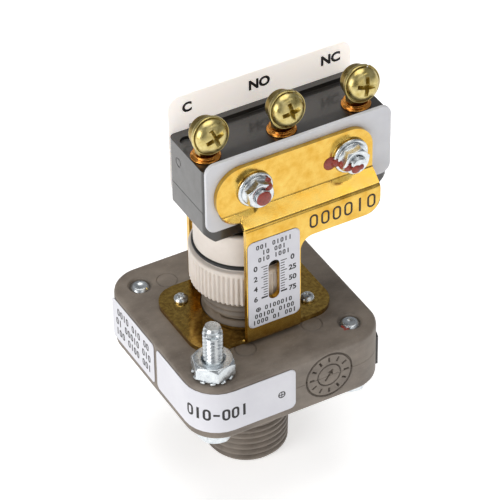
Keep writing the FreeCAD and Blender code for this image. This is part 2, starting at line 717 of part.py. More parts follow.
def make_sheet_plate(low, high, corner_size):
    plate = rounded(block(low, high), SIZES[corner_size], edge_along_y)
    holes = [cylinder("bolt_hole_radius", "4 * switch_depth", (x, "-2 * switch_depth", "bolt_height"), ALONG_BACK)
             for x in bolt_places()]
    return cut(plate, *holes)


def make_front_insulator():
    return make_sheet_plate((LEFT, "-switch_depth / 2 - hair - insulator_thickness", "insulator_bottom"),
                            (RIGHT, "-switch_depth / 2 - hair", "insulator_top"), "insulator_corner")


def make_rear_marking_plate():
    return make_sheet_plate((f"{LEFT} + 4 * slip", "switch_depth / 2 + hair", "plate_sheet_bottom"),
                            (f"{RIGHT} - 4 * slip", "switch_depth / 2 + hair + insulator_thickness",
                             "plate_sheet_top"), "plate_sheet_corner")


def make_switch_bolts():
    """Screws from the back, with their ends standing out of the nuts at the front."""
    bolts = []
    for x in bolt_places():
        seat = (x, "flange_reach + slip", "bolt_height")
        shank = cylinder("bolt_radius", "2 * flange_reach + bolt_end + slip", seat, ALONG_Y)
        head = cylinder("bolt_head_radius", "bolt_head_height", seat, ALONG_BACK)
        bolts.append(fuse(shank, head))
    return group(*bolts)


def make_bolt_washers():
    washers = []
    for x in bolt_places():
        at = (x, "-flange_reach - hair", "bolt_height")
        washers.append(cut(cylinder("flat_washer_radius", "flat_washer_thickness", at, ALONG_Y),
                           cylinder("bolt_hole_radius", "flat_washer_thickness", at, ALONG_Y)))
    return group(*washers)


def make_switch_nuts():
    nuts = []
    for x in bolt_places():
        at = (x, "-flange_reach - flat_washer_thickness - 2 * hair", "bolt_height")
        nut = fuse(hexagon("switch_nut_flats", "switch_nut_height", at, ALONG_Y),
                   cylinder("switch_nut_flange", "switch_nut_flange_thickness", at, ALONG_Y))
        nuts.append(cut(nut, cylinder("bolt_hole_radius", "switch_nut_height", at, ALONG_Y)))
    return group(*nuts)


# ---- labels ----

def band(thickness, bottom, top):
    """A thin band that follows the moulded body's outline."""
    def ring(reach):
        ends = (f"-base_width / 2 - ({reach})", f"base_width / 2 + {reach}")
        whole = block((ends[0], ends[0], bottom), (ends[1], ends[1], top))
        return rounded(whole, SIZES["base_corner"], upright_edge)
    return cut(ring(f"label_gap + {thickness}"), ring("label_gap"))


def make_front_label():
    """Wraps the corner below the ground stud."""
    outer, inner = "-base_width / 2 - past", "-base_width / 2 + label_wrap"
    keep = fuse(block((outer, outer, "base_bottom"), ("front_label_right", inner, "base_top")),
                block((outer, outer, "base_bottom"), (inner, "front_label_back", "base_top")))
    return common(band("label_thickness", "label_bottom", "label_top"), keep)


def make_side_label():
    keep = block(("-base_width / 2 - past", "side_label_front", "base_bottom"),
                 ("-base_width / 2 + label_wrap", "side_label_back", "base_top"))
    return common(band("label_thickness", "label_bottom", "label_top"), keep)


def make_rating_pad():
    """Thin raised pad on the body's far side."""
    keep = block(("base_width / 2 - label_wrap", "pad_front", "base_bottom"),
                 ("base_width / 2 + past", "pad_back", "base_top"))
    return common(band("pad_thickness", "pad_bottom", "pad_top"), keep)


def make_scale_label():
    face = "-upright_reach - label_gap"
    plate = rounded(block(("-scale_label_width / 2", f"{face} - label_thickness", "scale_label_bottom"),
                          ("scale_label_width / 2", face, "scale_label_top")),
                    SIZES["scale_label_corner"], edge_along_y)
    return cut(plate, slot_cutter(f"{face} - past", "2 * past"))


def build():
    """Make every piece; the key is the piece's name."""
    pieces = {
        "lower_body": make_lower_body(), "upper_body": make_upper_body(), "diaphragm": make_diaphragm(),
        "body_screws": make_body_screws(), "ground_stud": make_ground_stud(),
        "ground_star_washer": make_star_washer(), "ground_nut": make_ground_nut(),
        "mounting_bracket": make_mounting_bracket(), "bracket_screws": make_bracket_screws(),
        "piston": make_piston(), "operating_pin": make_operating_pin(), "range_spring": make_range_spring(),
        "thrust_washer": make_thrust_washer(), "adjusting_knob": make_adjusting_knob(),
        "indicator_ring": make_indicator_ring(), "switch_case": make_switch_case(),
        "switch_cover": make_switch_cover(), "switch_plunger": make_switch_plunger(),
        "snap_blade": make_snap_blade(), "moving_contact": make_moving_contact(),
        "blade_anchor": make_blade_anchor(), "normally_open_contact": make_normally_open_contact(),
        "normally_closed_contact": make_normally_closed_contact(), "terminal_common": make_terminal_common(),
        "terminal_normally_open": make_terminal_normally_open(),
        "terminal_normally_closed": make_terminal_normally_closed(),
        "front_insulator": make_front_insulator(), "rear_marking_plate": make_rear_marking_plate(),
        "switch_bolts": make_switch_bolts(), "bolt_washers": make_bolt_washers(),
        "switch_nuts": make_switch_nuts(), "front_label": make_front_label(), "side_label": make_side_label(),
        "rating_pad": make_rating_pad(), "scale_label": make_scale_label(),
    }
    for name, step in TERMINALS.items():
        pieces[f"clamp_washer_{name}"] = make_clamp_washer(step)
        pieces[f"terminal_screw_{name}"] = make_terminal_screw(step)
    return pieces


def export(pieces):
    """Check every object and piece, then write one STEP file for each piece."""
    doc.recompute()
    failed = [thing.Name for thing in doc.Objects if {"Invalid", "Error"} & set(thing.State)]
    for name, piece in pieces.items():
        piece.Label = name
        if piece.Shape.isNull() or not piece.Shape.isValid() or piece.Shape.Volume <= 0:
            failed.append(name)
    if failed:
        raise RuntimeError(f"not built: {failed}")
    os.makedirs("parts", exist_ok=True)
    for name, piece in pieces.items():
        piece.Shape.exportStep(f"parts/{name}.step")
        print(f"{name:28s} {len(piece.Shape.Solids)} solid(s) {piece.Shape.Volume:10.1f} mm3")


make_sheet()
export(build())
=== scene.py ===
"""Looks of an open-frame adjustable pressure switch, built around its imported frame.

Shapes are worked in millimetres and turned to metres when a piece is finished. +Z is up along the
pressure port, +X runs along the snap switch from its common terminal, and the front faces -Y.
"""
import logging
import math
from dataclasses import dataclass
from enum import Enum
from typing import Callable, Iterable, Optional, Sequence

import bmesh
import bpy
from mathutils import Matrix, Vector


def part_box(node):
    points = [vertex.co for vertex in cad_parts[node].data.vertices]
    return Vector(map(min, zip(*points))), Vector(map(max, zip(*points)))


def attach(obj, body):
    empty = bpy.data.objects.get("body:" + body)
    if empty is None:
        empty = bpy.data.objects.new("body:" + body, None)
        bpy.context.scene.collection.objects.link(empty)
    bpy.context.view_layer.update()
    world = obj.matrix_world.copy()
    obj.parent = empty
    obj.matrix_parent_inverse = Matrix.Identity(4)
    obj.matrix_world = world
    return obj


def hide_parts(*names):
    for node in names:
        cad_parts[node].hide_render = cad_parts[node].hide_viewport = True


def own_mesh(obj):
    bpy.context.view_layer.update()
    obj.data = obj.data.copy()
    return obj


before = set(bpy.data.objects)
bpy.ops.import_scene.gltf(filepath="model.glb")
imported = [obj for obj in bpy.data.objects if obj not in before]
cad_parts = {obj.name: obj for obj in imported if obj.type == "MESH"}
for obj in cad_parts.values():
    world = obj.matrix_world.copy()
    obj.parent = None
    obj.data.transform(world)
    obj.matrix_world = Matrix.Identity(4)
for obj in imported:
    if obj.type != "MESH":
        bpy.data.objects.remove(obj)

MM = 0.001
INCH = 25.4
NOISE_ROUGHNESS = 0.6
CLEAR_COAT_ROUGHNESS = 0.12
Z_AXIS = Vector((0.0, 0.0, 1.0))
Corner = tuple[float, float, float]
Profile = Sequence[tuple[float, float]]
log = logging.getLogger("pressure_switch")


class Body(Enum):
    """Moving bodies of the frame that pieces ride on."""

    SWITCH = "switch_body"
    KNOB = "knob"
    GROUND_WASHER = "ground_washer"
    GROUND_NUT = "ground_nut"


class Cut(Enum):
    """How one shape is combined with another."""

    AWAY = "DIFFERENCE"
    SHARED = "INTERSECT"


class Facing(Enum):
    """Directions a turned shape's own +Z can be pointed."""

    FRONT = (0.0, -1.0, 0.0)
    LEFT = (-1.0, 0.0, 0.0)


# ---------------------------------------------------------------- finishes

def linear(code: str) -> tuple[float, float, float, float]:
    """Turn an sRGB hex colour to linear.

    Args:
        code: Colour as "#rrggbb".

    Returns:
        Linear red, green, blue and an alpha of one.
    """
    parts = [int(code[i:i + 2], 16) / 255 for i in (1, 3, 5)]
    return (*[p / 12.92 if p <= 0.04045 else ((p + 0.055) / 1.055) ** 2.4 for p in parts], 1.0)


def add(tree: bpy.types.NodeTree, kind: str, values: Optional[dict] = None, links: Optional[dict] = None,
        **settings: object) -> bpy.types.Node:
    """Add one node to a material.

    Args:
        tree: The material's node tree.
        kind: Node type.
        values: Fixed value for each named or numbered input.
        links: Output socket that feeds each named or numbered input.
        **settings: The node's own settings.

    Returns:
        The new node.
    """
    made = tree.nodes.new(kind)
    for name, value in settings.items():
        setattr(made, name, value)
    for socket, value in (values or {}).items():
        made.inputs[socket].default_value = value
    for socket, source in (links or {}).items():
        tree.links.new(source, made.inputs[socket])
    return made


def per_metre(millimetres: float) -> float:
    """Noise scale whose features are about this size."""
    return 1.0 / (millimetres * MM)


@dataclass(frozen=True)
class Finish:
    """One surface: two mottled colours, two roughnesses, and a fine relief.

    Attributes:
        name: What it is and how it was made.
        light: Lighter colour.
        dark: Darker colour.
        patch: Size of the colour patches, in mm.
        rough: Lowest and highest roughness.
        grain: Size of the surface relief, in mm.
        relief: Height of the relief, in mm.
        metallic: One for bare metal, zero for the rest.
        stretch: How much longer than wide the patches and grain are along each axis.
        coat: Weight of a clear layer.
        scatter: Weight of light scattered under the surface.
        contrast: Width of the blend between the colours, smaller is harder.
        painted_backlight: Painted light, emission that stands in for light coming through a thin sheet from
            behind.
    """

    name: str
    light: str
    dark: str
    patch: float
    rough: tuple[float, float]
    grain: float
    relief: float
    metallic: float = 0.0
    stretch: tuple[float, float, float] = (1.0, 1.0, 1.0)
    coat: float = 0.0
    scatter: float = 0.0
    contrast: float = 0.35
    painted_backlight: float = 0.0

    def material(self) -> bpy.types.Material:
        """Return the finish's material, made the first time it is asked for.

        Returns:
            The material.
        """
        known = bpy.data.materials.get(self.name)
        if known:
            return known
        made = bpy.data.materials.new(self.name)
        made.use_nodes = True
        tree = made.node_tree
        shader = tree.nodes["Principled BSDF"]
        shader.inputs["Metallic"].default_value = self.metallic
        shader.inputs["Coat Weight"].default_value = self.coat
        shader.inputs["Coat Roughness"].default_value = CLEAR_COAT_ROUGHNESS
        # Emission paints a glow that stands in for light coming through a sheet from behind; its strength is
        # zero for most finishes.
        shader.inputs["Emission Color"].default_value = linear(self.light)
        shader.inputs["Emission Strength"].default_value = self.painted_backlight
        if self.scatter:
            shader.inputs["Subsurface Weight"].default_value = self.scatter
            shader.inputs["Subsurface Scale"].default_value = 1.2 * MM
            shader.inputs["Subsurface Radius"].default_value = (1.0, 0.8, 0.6)
        self.dress(tree, shader)
        return made

    def dress(self, tree: bpy.types.NodeTree, shader: bpy.types.Node) -> None:
        """Link the mottled colour, roughness and relief to the shader.

        Args:
            tree: The material's node tree.
            shader: Its Principled shader.
        """
        place = self.place(tree)
        patches = add(tree, "ShaderNodeTexNoise",
                      {"Scale": per_metre(self.patch), "Detail": 4.0, "Roughness": NOISE_ROUGHNESS},
                      {"Vector": place}).outputs["Fac"]
        tree.links.new(self.colour(tree, place, patches), shader.inputs["Base Color"])
        grain = add(tree, "ShaderNodeTexNoise",
                    {"Scale": per_metre(self.grain), "Detail": 3.0, "Roughness": NOISE_ROUGHNESS},
                    {"Vector": place}).outputs["Fac"]
        spread = add(tree, "ShaderNodeMapRange", {"From Min": 0.3, "From Max": 0.7, "To Min": self.rough[0],
                                                 "To Max": self.rough[1]}, {"Value": patches})
        tree.links.new(spread.outputs["Result"], shader.inputs["Roughness"])
        bump = add(tree, "ShaderNodeBump", {"Strength": 1.0, "Distance": self.relief * MM},
                   {"Height": grain})
        tree.links.new(bump.outputs["Normal"], shader.inputs["Normal"])

    def place(self, tree: bpy.types.NodeTree) -> bpy.types.NodeSocket:
        """Return object coordinates, squeezed along the grain.

        Args:
            tree: The material's node tree.

        Returns:
            The socket that carries them.
        """
        where = add(tree, "ShaderNodeTexCoord")
        squeeze = tuple(1.0 / s for s in self.stretch)
        return add(tree, "ShaderNodeMapping", {"Scale": squeeze},
                   {"Vector": where.outputs["Object"]}).outputs["Vector"]

    def colour(self, tree: bpy.types.NodeTree, place: bpy.types.NodeSocket,
               patches: bpy.types.NodeSocket) -> bpy.types.NodeSocket:
        """Return the base colour.

        Args:
            tree: The material's node tree.
            place: Squeezed object coordinates.
            patches: The noise that places the patches.

        Returns:
            The socket that carries it.
        """
        ramp = add(tree, "ShaderNodeValToRGB", links={"Fac": patches})
        low, high = ramp.color_ramp.elements
        low.position, low.color = 0.5 - self.contrast / 2, linear(self.dark)
        high.position, high.color = 0.5 + self.contrast / 2, linear(self.light)
        return ramp.outputs["Color"]


@dataclass(frozen=True)
class ChromatePlate(Finish):
    """Yellow chromate over zinc: the bright upper sheet turns darker and speckled on the flat plate, the
    darkening a painted reflection of darker surroundings.

    Attributes:
        plate_reflection_light: Lighter colour of the painted dark reflection low down.
        plate_reflection_dark: Darker colour of the painted dark reflection low down.
        reflection_band: Heights between which the painted reflection turns to the upper gold, in mm.
        speck: Size of the specks low down, in mm.
        wave: Size of the long waves in the sheet, in mm.
        wave_height: Their height, in mm.
    """

    plate_reflection_light: str = "#c8a658"
    plate_reflection_dark: str = "#916f36"
    reflection_band: tuple[float, float] = (43.5, 48.0)
    speck: float = 0.9
    wave: float = 9.0
    wave_height: float = 0.05

    def dress(self, tree: bpy.types.NodeTree, shader: bpy.types.Node) -> None:
        """Link the finish to the shader, with long low waves under its relief.

        Args:
            tree: The material's node tree.
            shader: Its Principled shader.
        """
        super().dress(tree, shader)
        waves = add(tree, "ShaderNodeTexNoise",
                    {"Scale": per_metre(self.wave), "Detail": 1.0, "Roughness": NOISE_ROUGHNESS},
                    {"Vector": self.place(tree)}).outputs["Fac"]
        swell = add(tree, "ShaderNodeBump", {"Strength": 1.0, "Distance": self.wave_height * MM},
                    {"Height": waves})
        relief = shader.inputs["Normal"].links[0].from_node
        tree.links.new(swell.outputs["Normal"], relief.inputs["Normal"])

    def colour(self, tree: bpy.types.NodeTree, place: bpy.types.NodeSocket,
               patches: bpy.types.NodeSocket) -> bpy.types.NodeSocket:
        """Return the gold above and, below, the darker speckled gold of the painted reflection.

        Args:
            tree: The material's node tree.
            place: Squeezed object coordinates.
            patches: The noise that places the patches.

        Returns:
            The socket that carries it.
        """
        upper = super().colour(tree, place, patches)
        specks = add(tree, "ShaderNodeTexNoise",
                     {"Scale": per_metre(self.speck), "Detail": 6.0, "Roughness": NOISE_ROUGHNESS},
                     {"Vector": place}).outputs["Fac"]
        # Painted reflection: the darker, speckled colour that the plate takes low down in place of the gold.
        ramp = add(tree, "ShaderNodeValToRGB", links={"Fac": specks})
        low, high = ramp.color_ramp.elements
        low.position, low.color = 0.38, linear(self.plate_reflection_dark)
        high.position, high.color = 0.62, linear(self.plate_reflection_light)
        where = add(tree, "ShaderNodeTexCoord")
        axes = add(tree, "ShaderNodeSeparateXYZ", links={"Vector": where.outputs["Object"]})
        share = add(tree, "ShaderNodeMapRange",
                    {"From Min": self.reflection_band[0] * MM, "From Max": self.reflection_band[1] * MM},
                    {"Value": axes.outputs["Z"]}, clamp=True)
        mix = add(tree, "ShaderNodeMix", links={"Factor": share.outputs["Result"], "A": ramp.outputs["Color"],
                                               "B": upper}, data_type="RGBA")
        return mix.outputs["Result"]


@dataclass(frozen=True)
class FilledMoulding(Finish):
    """Fibre-filled moulding: cloudy patches with fine pale fibre flecks over them.

    Attributes:
        fleck: Colour of the fibres that reach the surface.
        fibre: Size of the flecks, in mm, coarser than real ones so that they show.
    """

    fleck: str = "#9a9189"
    fibre: float = 0.35

    def colour(self, tree: bpy.types.NodeTree, place: bpy.types.NodeSocket,
               patches: bpy.types.NodeSocket) -> bpy.types.NodeSocket:
        """Return the cloudy colour with flecks.

        Args:
            tree: The material's node tree.
            place: Squeezed object coordinates.
            patches: The noise that places the patches.

        Returns:
            The socket that carries it.
        """
        cloudy = super().colour(tree, place, patches)
        fibres = add(tree, "ShaderNodeTexNoise",
                     {"Scale": per_metre(self.fibre), "Detail": 2.0, "Roughness": NOISE_ROUGHNESS},
                     {"Vector": place}).outputs["Fac"]
        share = add(tree, "ShaderNodeMapRange", {"From Min": 0.6, "From Max": 0.78, "To Max": 0.45},
                    {"Value": fibres}, clamp=True)
        mix = add(tree, "ShaderNodeMix", {"B": linear(self.fleck)},
                  {"Factor": share.outputs["Result"], "A": cloudy}, data_type="RGBA")
        return mix.outputs["Result"]


# Glass-filled nylon, moulded and left matt: grey-brown clouds where the melt flowed, fine pale fibres.
BODY_NYLON = FilledMoulding("glass_filled_nylon_moulded", "#877d72", "#6a6056", 5.0, (0.46, 0.62), 0.28,
                            0.012,
                            stretch=(1.6, 1.0, 1.0), contrast=0.4)
# Steel sheet, zinc plated and yellow chromated: bright gold with amber clouds, dull, darker and speckled on
# the
# # plate, where the darkening is a painted reflection of darker surroundings.
YELLOW_ZINC = ChromatePlate("yellow_chromate_zinc_plated_steel", "#eac86c", "#cf9c35", 3.5, (0.10, 0.22), 0.8,
                            0.0012, metallic=1.0, contrast=0.5)
# Steel, barrel plated with bright zinc: cool silver with slightly cloudy gloss.
BRIGHT_ZINC = Finish("bright_zinc_plated_steel", "#e3e8ea", "#c4cacf", 1.2, (0.22, 0.34), 0.5, 0.0008,
                     metallic=1.0)
# Acetal, moulded with a satin face: warm cream that lets a little light in.
CREAM_ACETAL = Finish("cream_acetal_moulded", "#e2d9d0", "#d6ccc2", 6.0, (0.34, 0.46), 0.5, 0.003,
                      scatter=0.12)
# Nitrile rubber ring, moulded: dense black with a soft shine.
NITRILE = Finish("black_nitrile_rubber_moulded", "#1b1b1c", "#111112", 1.0, (0.42, 0.58), 0.3, 0.004)
# Phenolic, pressed hot in a polished mould: near black with a grey, faintly swirled gloss.
PHENOLIC = FilledMoulding("black_phenolic_pressed", "#2a2724", "#1b1917", 3.0, (0.32, 0.46), 0.5, 0.006,
                          stretch=(2.5, 1.0, 1.0), coat=0.8, fleck="#3b3836")
# Brass screws, rolled and tumbled: greenish yellow with soft dark bloom.
SCREW_BRASS = Finish("tumbled_brass", "#dccd90", "#b8a562", 1.6, (0.24, 0.38), 0.5, 0.0014, metallic=1.0)
# Brass strip, stamped and left bare: duller and browner than the screws.
STRIP_BRASS = Finish("stamped_brass_strip", "#b8a262", "#8a733c", 1.8, (0.24, 0.36), 0.4, 0.0016,
                     metallic=1.0)
# Phosphor bronze eyelet, flared by rolling: warm orange with turned streaks.
EYELET_BRONZE = Finish("rolled_bronze_eyelet", "#f0ab55", "#cf8436", 1.4, (0.16, 0.28), 0.4, 0.001,
                       metallic=1.0)
# Rigid vinyl sheet, calendered: cool off-white with a soft even face.
VINYL_SHEET = Finish("white_vinyl_sheet", "#d9dade", "#cfd0d5", 8.0, (0.36, 0.44), 0.8, 0.003, scatter=0.1)
# Thin fibre-board sheet, varnished: pale pink-white and slightly milky, with a painted glow that stands in
# for light coming through it from behind.
MARKING_SHEET = Finish("pale_varnished_sheet", "#fffaf6", "#fdf1ea", 14.0, (0.4, 0.5), 0.9, 0.002,
                       scatter=0.3, painted_backlight=0.38)
# Polyester label stock: slightly blue white with a satin face.
LABEL_STOCK = Finish("satin_polyester_label", "#dedee4", "#d6d6dd", 9.0, (0.3, 0.4), 0.9, 0.002)
# Thermal print: soft black, a little broken at its edges.
PRINT = Finish("thermal_black_print", "#2a2627", "#151314", 0.5, (0.45, 0.6), 0.2, 0.001)
# Stamped and inked mark: brown-black sunk in the plating.
STAMP = Finish("stamped_ink", "#3b2d20", "#21180f", 0.6, (0.5, 0.65), 0.3, 0.004)
# Torque-seal lacquer, dabbed by brush: brick red, thick and glossy in places.
SEAL_LACQUER = Finish("red_torque_seal_lacquer", "#9c3a2c", "#7a281f", 1.0, (0.25, 0.5), 0.5, 0.05, coat=0.2)
# Spring wire, drawn and oiled: grey with fine lengthwise lines.
SPRING_STEEL = Finish("oiled_spring_wire", "#8d8f92", "#5b5d60", 0.8, (0.25, 0.4), 0.2, 0.004, metallic=1.0)
# Aluminium bar, turned: pale with fine rings.
TURNED_ALLOY = Finish("turned_aluminium", "#c9cbcd", "#a5a8ab", 0.6, (0.25, 0.38), 0.15, 0.004, metallic=1.0)
# Silver contacts, pressed: bright and white.
CONTACT_SILVER = Finish("pressed_silver_contact", "#e7e5df", "#c5c2bb", 0.8, (0.18, 0.3), 0.2, 0.003,
                        metallic=1.0)
# Copper alloy blade, rolled: red-gold with lengthwise grain.
BLADE_COPPER = Finish("rolled_beryllium_copper", "#d9a060", "#b07a3c", 1.5, (0.22, 0.32), 0.3, 0.003,
                      metallic=1.0,
                      stretch=(5.0, 1.0, 1.0))
# Thermoset button, moulded: dull dark red.
RED_BUTTON = Finish("red_thermoset_moulded", "#8a2c24", "#6e211b", 1.0, (0.35, 0.5), 0.3, 0.004)
# Fabric-backed rubber sheet, pressed: dull black with a slight weave.
RUBBER_SHEET = Finish("fabric_backed_rubber", "#222222", "#161616", 0.8, (0.55, 0.7), 0.4, 0.02)
# Soft pad, die cut: dark and dull.
PAD_FOIL = Finish("dark_foil_pad", "#2b2624", "#1c1817", 1.5, (0.4, 0.55), 0.4, 0.006)


# ---------------------------------------------------------------- shaping

class Blank:
    """A shape being worked, in millimetres, with the operations a workshop would use on it."""

    def __init__(self) -> None:
        """Start with nothing on the bench."""
        self.bm = bmesh.new()

    @classmethod
    def turned(cls, profile: Profile, steps: int = 64, closed: bool = False) -> "Blank":
        """Turn a profile about +Z.

        Args:
            profile: Radius and height of each point, in order.
            steps: Flats round the full turn.
            closed: Join the last point to the first, for a ring.

        Returns:
            The turned shape.
        """
        blank = cls()
        verts = [blank.bm.verts.new((radius, 0.0, height)) for radius, height in profile]
        pairs = list(zip(verts, verts[1:])) + ([(verts[-1], verts[0])] if closed else [])
        edges = [blank.bm.edges.new(pair) for pair in pairs]
        bmesh.ops.spin(blank.bm, geom=verts + edges, cent=(0, 0, 0), axis=Z_AXIS, dvec=(0, 0, 0),
                       angle=math.tau, steps=steps, use_merge=True, use_duplicate=False)
        return blank.cleaned()

    @classmethod
    def coiled(cls, profile: Profile, pitch: float, turns: float, steps: int = 40,
               closed: bool = False) -> "Blank":
        """Sweep a profile up a helix about +Z.

        Args:
            profile: Radius and height of each point, in order.
            pitch: Rise for each turn.
            turns: Number of turns.
            steps: Steps for each turn.
            closed: Join the last point to the first, for a wire.

        Returns:
            The swept surface, open at its two ends.
        """
        blank = cls()
        verts = [blank.bm.verts.new((radius, 0.0, height)) for radius, height in profile]
        pairs = list(zip(verts, verts[1:])) + ([(verts[-1], verts[0])] if closed else [])
        edges = [blank.bm.edges.new(pair) for pair in pairs]
        bmesh.ops.spin(blank.bm, geom=verts + edges, cent=(0, 0, 0), axis=Z_AXIS, dvec=(0, 0, pitch / steps),
                       angle=math.tau * turns, steps=round(steps * turns), use_merge=False,
                       use_duplicate=False)
        return blank.cleaned()

    @classmethod
    def threaded(cls, crest: float, root: float, pitch: float, low: float, high: float, steps: int = 40,
                 land: float = 0.14) -> "Blank":
        """Make a closed rod with an outside thread, cut square at both ends.

        Args:
            crest: Radius at the top of the thread.
            root: Radius at its bottom.
            pitch: Rise for each turn.
            low: Height of the lower end.
            high: Height of the upper end.
            steps: Steps for each turn.
            land: Width of the flat crest, as a share of the pitch.

        Returns:
            The threaded rod.
        """
        turns = math.ceil((high - low) / pitch) + 3
        groove = 0.1
        flank = (1 - groove - land) / 2
        profile = [(root, 0.0), (root, groove * pitch), (crest, (groove + flank) * pitch),
                   (crest, (groove + flank + land) * pitch), (root, pitch)]
        blank = cls.coiled(profile, pitch, turns, steps)
        blank.moved((0, 0, low - 1.5 * pitch))
        blank.sliced((0, 0, low), (0, 0, -1))
        blank.sliced((0, 0, high), (0, 0, 1))
        bmesh.ops.holes_fill(blank.bm, edges=[e for e in blank.bm.edges if e.is_boundary], sides=0)
        return blank.cleaned()

    @classmethod
    def block(cls, low: Sequence[float], high: Sequence[float]) -> "Blank":
        """Make a block between two corners.

        Args:
            low: Its lowest corner.
            high: Its highest corner.

        Returns:
            The block.
        """
        blank = cls()
        low_corner, high_corner = Vector(low), Vector(high)
        bmesh.ops.create_cube(blank.bm, size=1.0, matrix=Matrix.LocRotScale(
            (low_corner + high_corner) / 2, None, high_corner - low_corner))
        return blank

    @classmethod
    def hexagon(cls, flats: float, low: float, high: float, top: float = 0.0, bottom: float = 0.0) -> "Blank":
        """Make a hexagon whose corners are turned down at its ends.

        Args:
            flats: Distance across the flats.
            low: Height of the lower face.
            high: Height of the upper face.
            top: How far down the corners are turned at the top, zero for square.
            bottom: The same at the bottom.

        Returns:
            The hexagon.
        """
        across = flats / math.sqrt(3)
        blank = cls()
        bmesh.ops.create_cone(blank.bm, cap_ends=True, segments=6, radius1=across, radius2=across,
                              depth=high - low + 2, matrix=Matrix.Translation((0, 0, (low + high) / 2)))
        rim = flats / 2 * 0.97
        lens = cls.turned([(0, low), (rim if bottom else across + 1, low),
                           (across + 0.01, low + bottom + 0.01),
                           (across + 0.01, high - top - 0.01), (rim if top else across + 1, high), (0, high)],
                           96)
        return blank.carved(lens, Cut.SHARED)

    @classmethod
    def sheet(cls, outline: Sequence[Corner], holes: Sequence[Sequence[Corner]] = (),
              rounds: Sequence[Corner] = ()) -> "Blank":
        """Cut a flat sheet in the XY plane.

        Args:
            outline: Corners of the sheet, each x, y and radius.
            holes: Corners of each cut-out, in the same way.
            rounds: Round holes, each x, y and radius.

        Returns:
            The sheet, facing +Z, without thickness.
        """
        blank = cls()
        for corners in (outline, *holes):
            blank._loop(corners)
        for x, y, radius in rounds:
            bmesh.ops.create_circle(blank.bm, cap_ends=False, segments=32, radius=radius,
                                    matrix=Matrix.Translation((x, y, 0)))
        bmesh.ops.triangle_fill(blank.bm, edges=blank.bm.edges[:], use_beauty=True, use_dissolve=False)
        for face in blank.bm.faces:
            face.normal_update()
            if face.normal.z < 0:
                face.normal_flip()
        return blank

    def _loop(self, corners: Sequence[Corner]) -> None:
        """Add a closed loop of edges with rounded corners.

        Args:
            corners: Each corner, as x, y and radius.
        """
        verts = [self.bm.verts.new((x, y, 0.0)) for x, y, _ in corners]
        self.bm.faces.new(verts)
        for vert, (_, _, radius) in zip(verts, corners):
            if radius:
                bmesh.ops.bevel(self.bm, geom=[vert], offset=radius, offset_type="OFFSET",
                                segments=max(4, round(radius * 2.5)), profile=0.5, affect="VERTICES",
                                material=-1)
        bmesh.ops.delete(self.bm, geom=self.bm.faces[:], context="FACES_ONLY")

    def cleaned(self) -> "Blank":
        """Merge doubled points and point every face outwards.

        Returns:
            This shape.
        """
        bmesh.ops.remove_doubles(self.bm, verts=self.bm.verts, dist=1e-4)
        bmesh.ops.dissolve_degenerate(self.bm, dist=1e-5, edges=self.bm.edges)
        bmesh.ops.recalc_face_normals(self.bm, faces=self.bm.faces)
        return self

    def moved(self, offset: Sequence[float]) -> "Blank":
        """Slide the shape."""
        bmesh.ops.translate(self.bm, verts=self.bm.verts, vec=Vector(offset))
        return self

    def spun(self, degrees: float, axis: Sequence[float] = (0, 0, 1),
             centre: Sequence[float] = (0, 0, 0)) -> "Blank":
        """Turn the shape about an axis through a centre."""
        bmesh.ops.rotate(self.bm, verts=self.bm.verts, cent=Vector(centre),
                         matrix=Matrix.Rotation(math.radians(degrees), 3, Vector(axis)))
        return self

    def faced(self, facing: Sequence[float], at: Sequence[float]) -> "Blank":
        """Point the shape's +Z somewhere, then carry its origin to a point.

        Args:
            facing: Where its +Z goes.
            at: Where its origin goes.

        Returns:
            This shape.
        """
        turn = Vector(facing).to_track_quat("Z", "Y").to_matrix()
        bmesh.ops.rotate(self.bm, verts=self.bm.verts, cent=(0, 0, 0), matrix=turn)
        return self.moved(at)

    def scaled(self, x: float, y: float, z: float) -> "Blank":
        """Stretch the shape about its origin."""
        bmesh.ops.scale(self.bm, verts=self.bm.verts, vec=(x, y, z))
        return self

    def shaped(self, move: Callable[[Vector], Vector]) -> "Blank":
        """Move every point by a rule.

        Args:
            move: Gives the new place of a point.

        Returns:
            This shape.
        """
        for vert in self.bm.verts:
            vert.co = move(vert.co)
        return self

    def sliced(self, at: Sequence[float], outward: Sequence[float]) -> "Blank":
        """Cut by a plane and drop what lies on its outward side."""
        bmesh.ops.bisect_plane(self.bm, geom=self.bm.verts[:] + self.bm.edges[:] + self.bm.faces[:],
                               dist=1e-5,
                               plane_co=Vector(at), plane_no=Vector(outward), clear_outer=True)
        return self

    def scored(self, places: Iterable[float]) -> "Blank":
        """Divide a flat sheet across its Y at each place, so that it can bend there.

        Args:
            places: Where along Y.

        Returns:
            This shape.
        """
        for place in places:
            bmesh.ops.bisect_plane(self.bm, geom=self.bm.verts[:] + self.bm.edges[:] + self.bm.faces[:],
                                   dist=1e-4,
                                   plane_co=(0, place, 0), plane_no=(0, 1, 0))
        return self

    def bent(self, path: "BentPath", place: Callable[[float, float, float], Corner]) -> "Blank":
        """Bend a flat sheet whose Y runs along a path.

        Args:
            path: The line it is bent along.
            place: Gives a point from the sheet's X and the path's u and v.

        Returns:
            The bent sheet, facing out of the bends.
        """
        self.scored(station[0] for station in path.stations()[1:-1])
        self.shaped(lambda at: Vector(place(at.x, *path.at(at.y))))
        bmesh.ops.reverse_faces(self.bm, faces=self.bm.faces)
        return self

    def bevelled(self, width: float, segments: int, test: Callable[[bmesh.types.BMEdge], bool]) -> "Blank":
        """Round the edges that pass a test.

        Args:
            width: How far the rounding reaches.
            segments: Steps round it.
            test: Tells which edges are rounded.

        Returns:
            This shape.
        """
        chosen = [edge for edge in self.bm.edges if test(edge)]
        bmesh.ops.bevel(self.bm, geom=chosen, offset=width, offset_type="OFFSET", segments=segments,
                        profile=0.5,
                        affect="EDGES", material=-1, clamp_overlap=True)
        return self

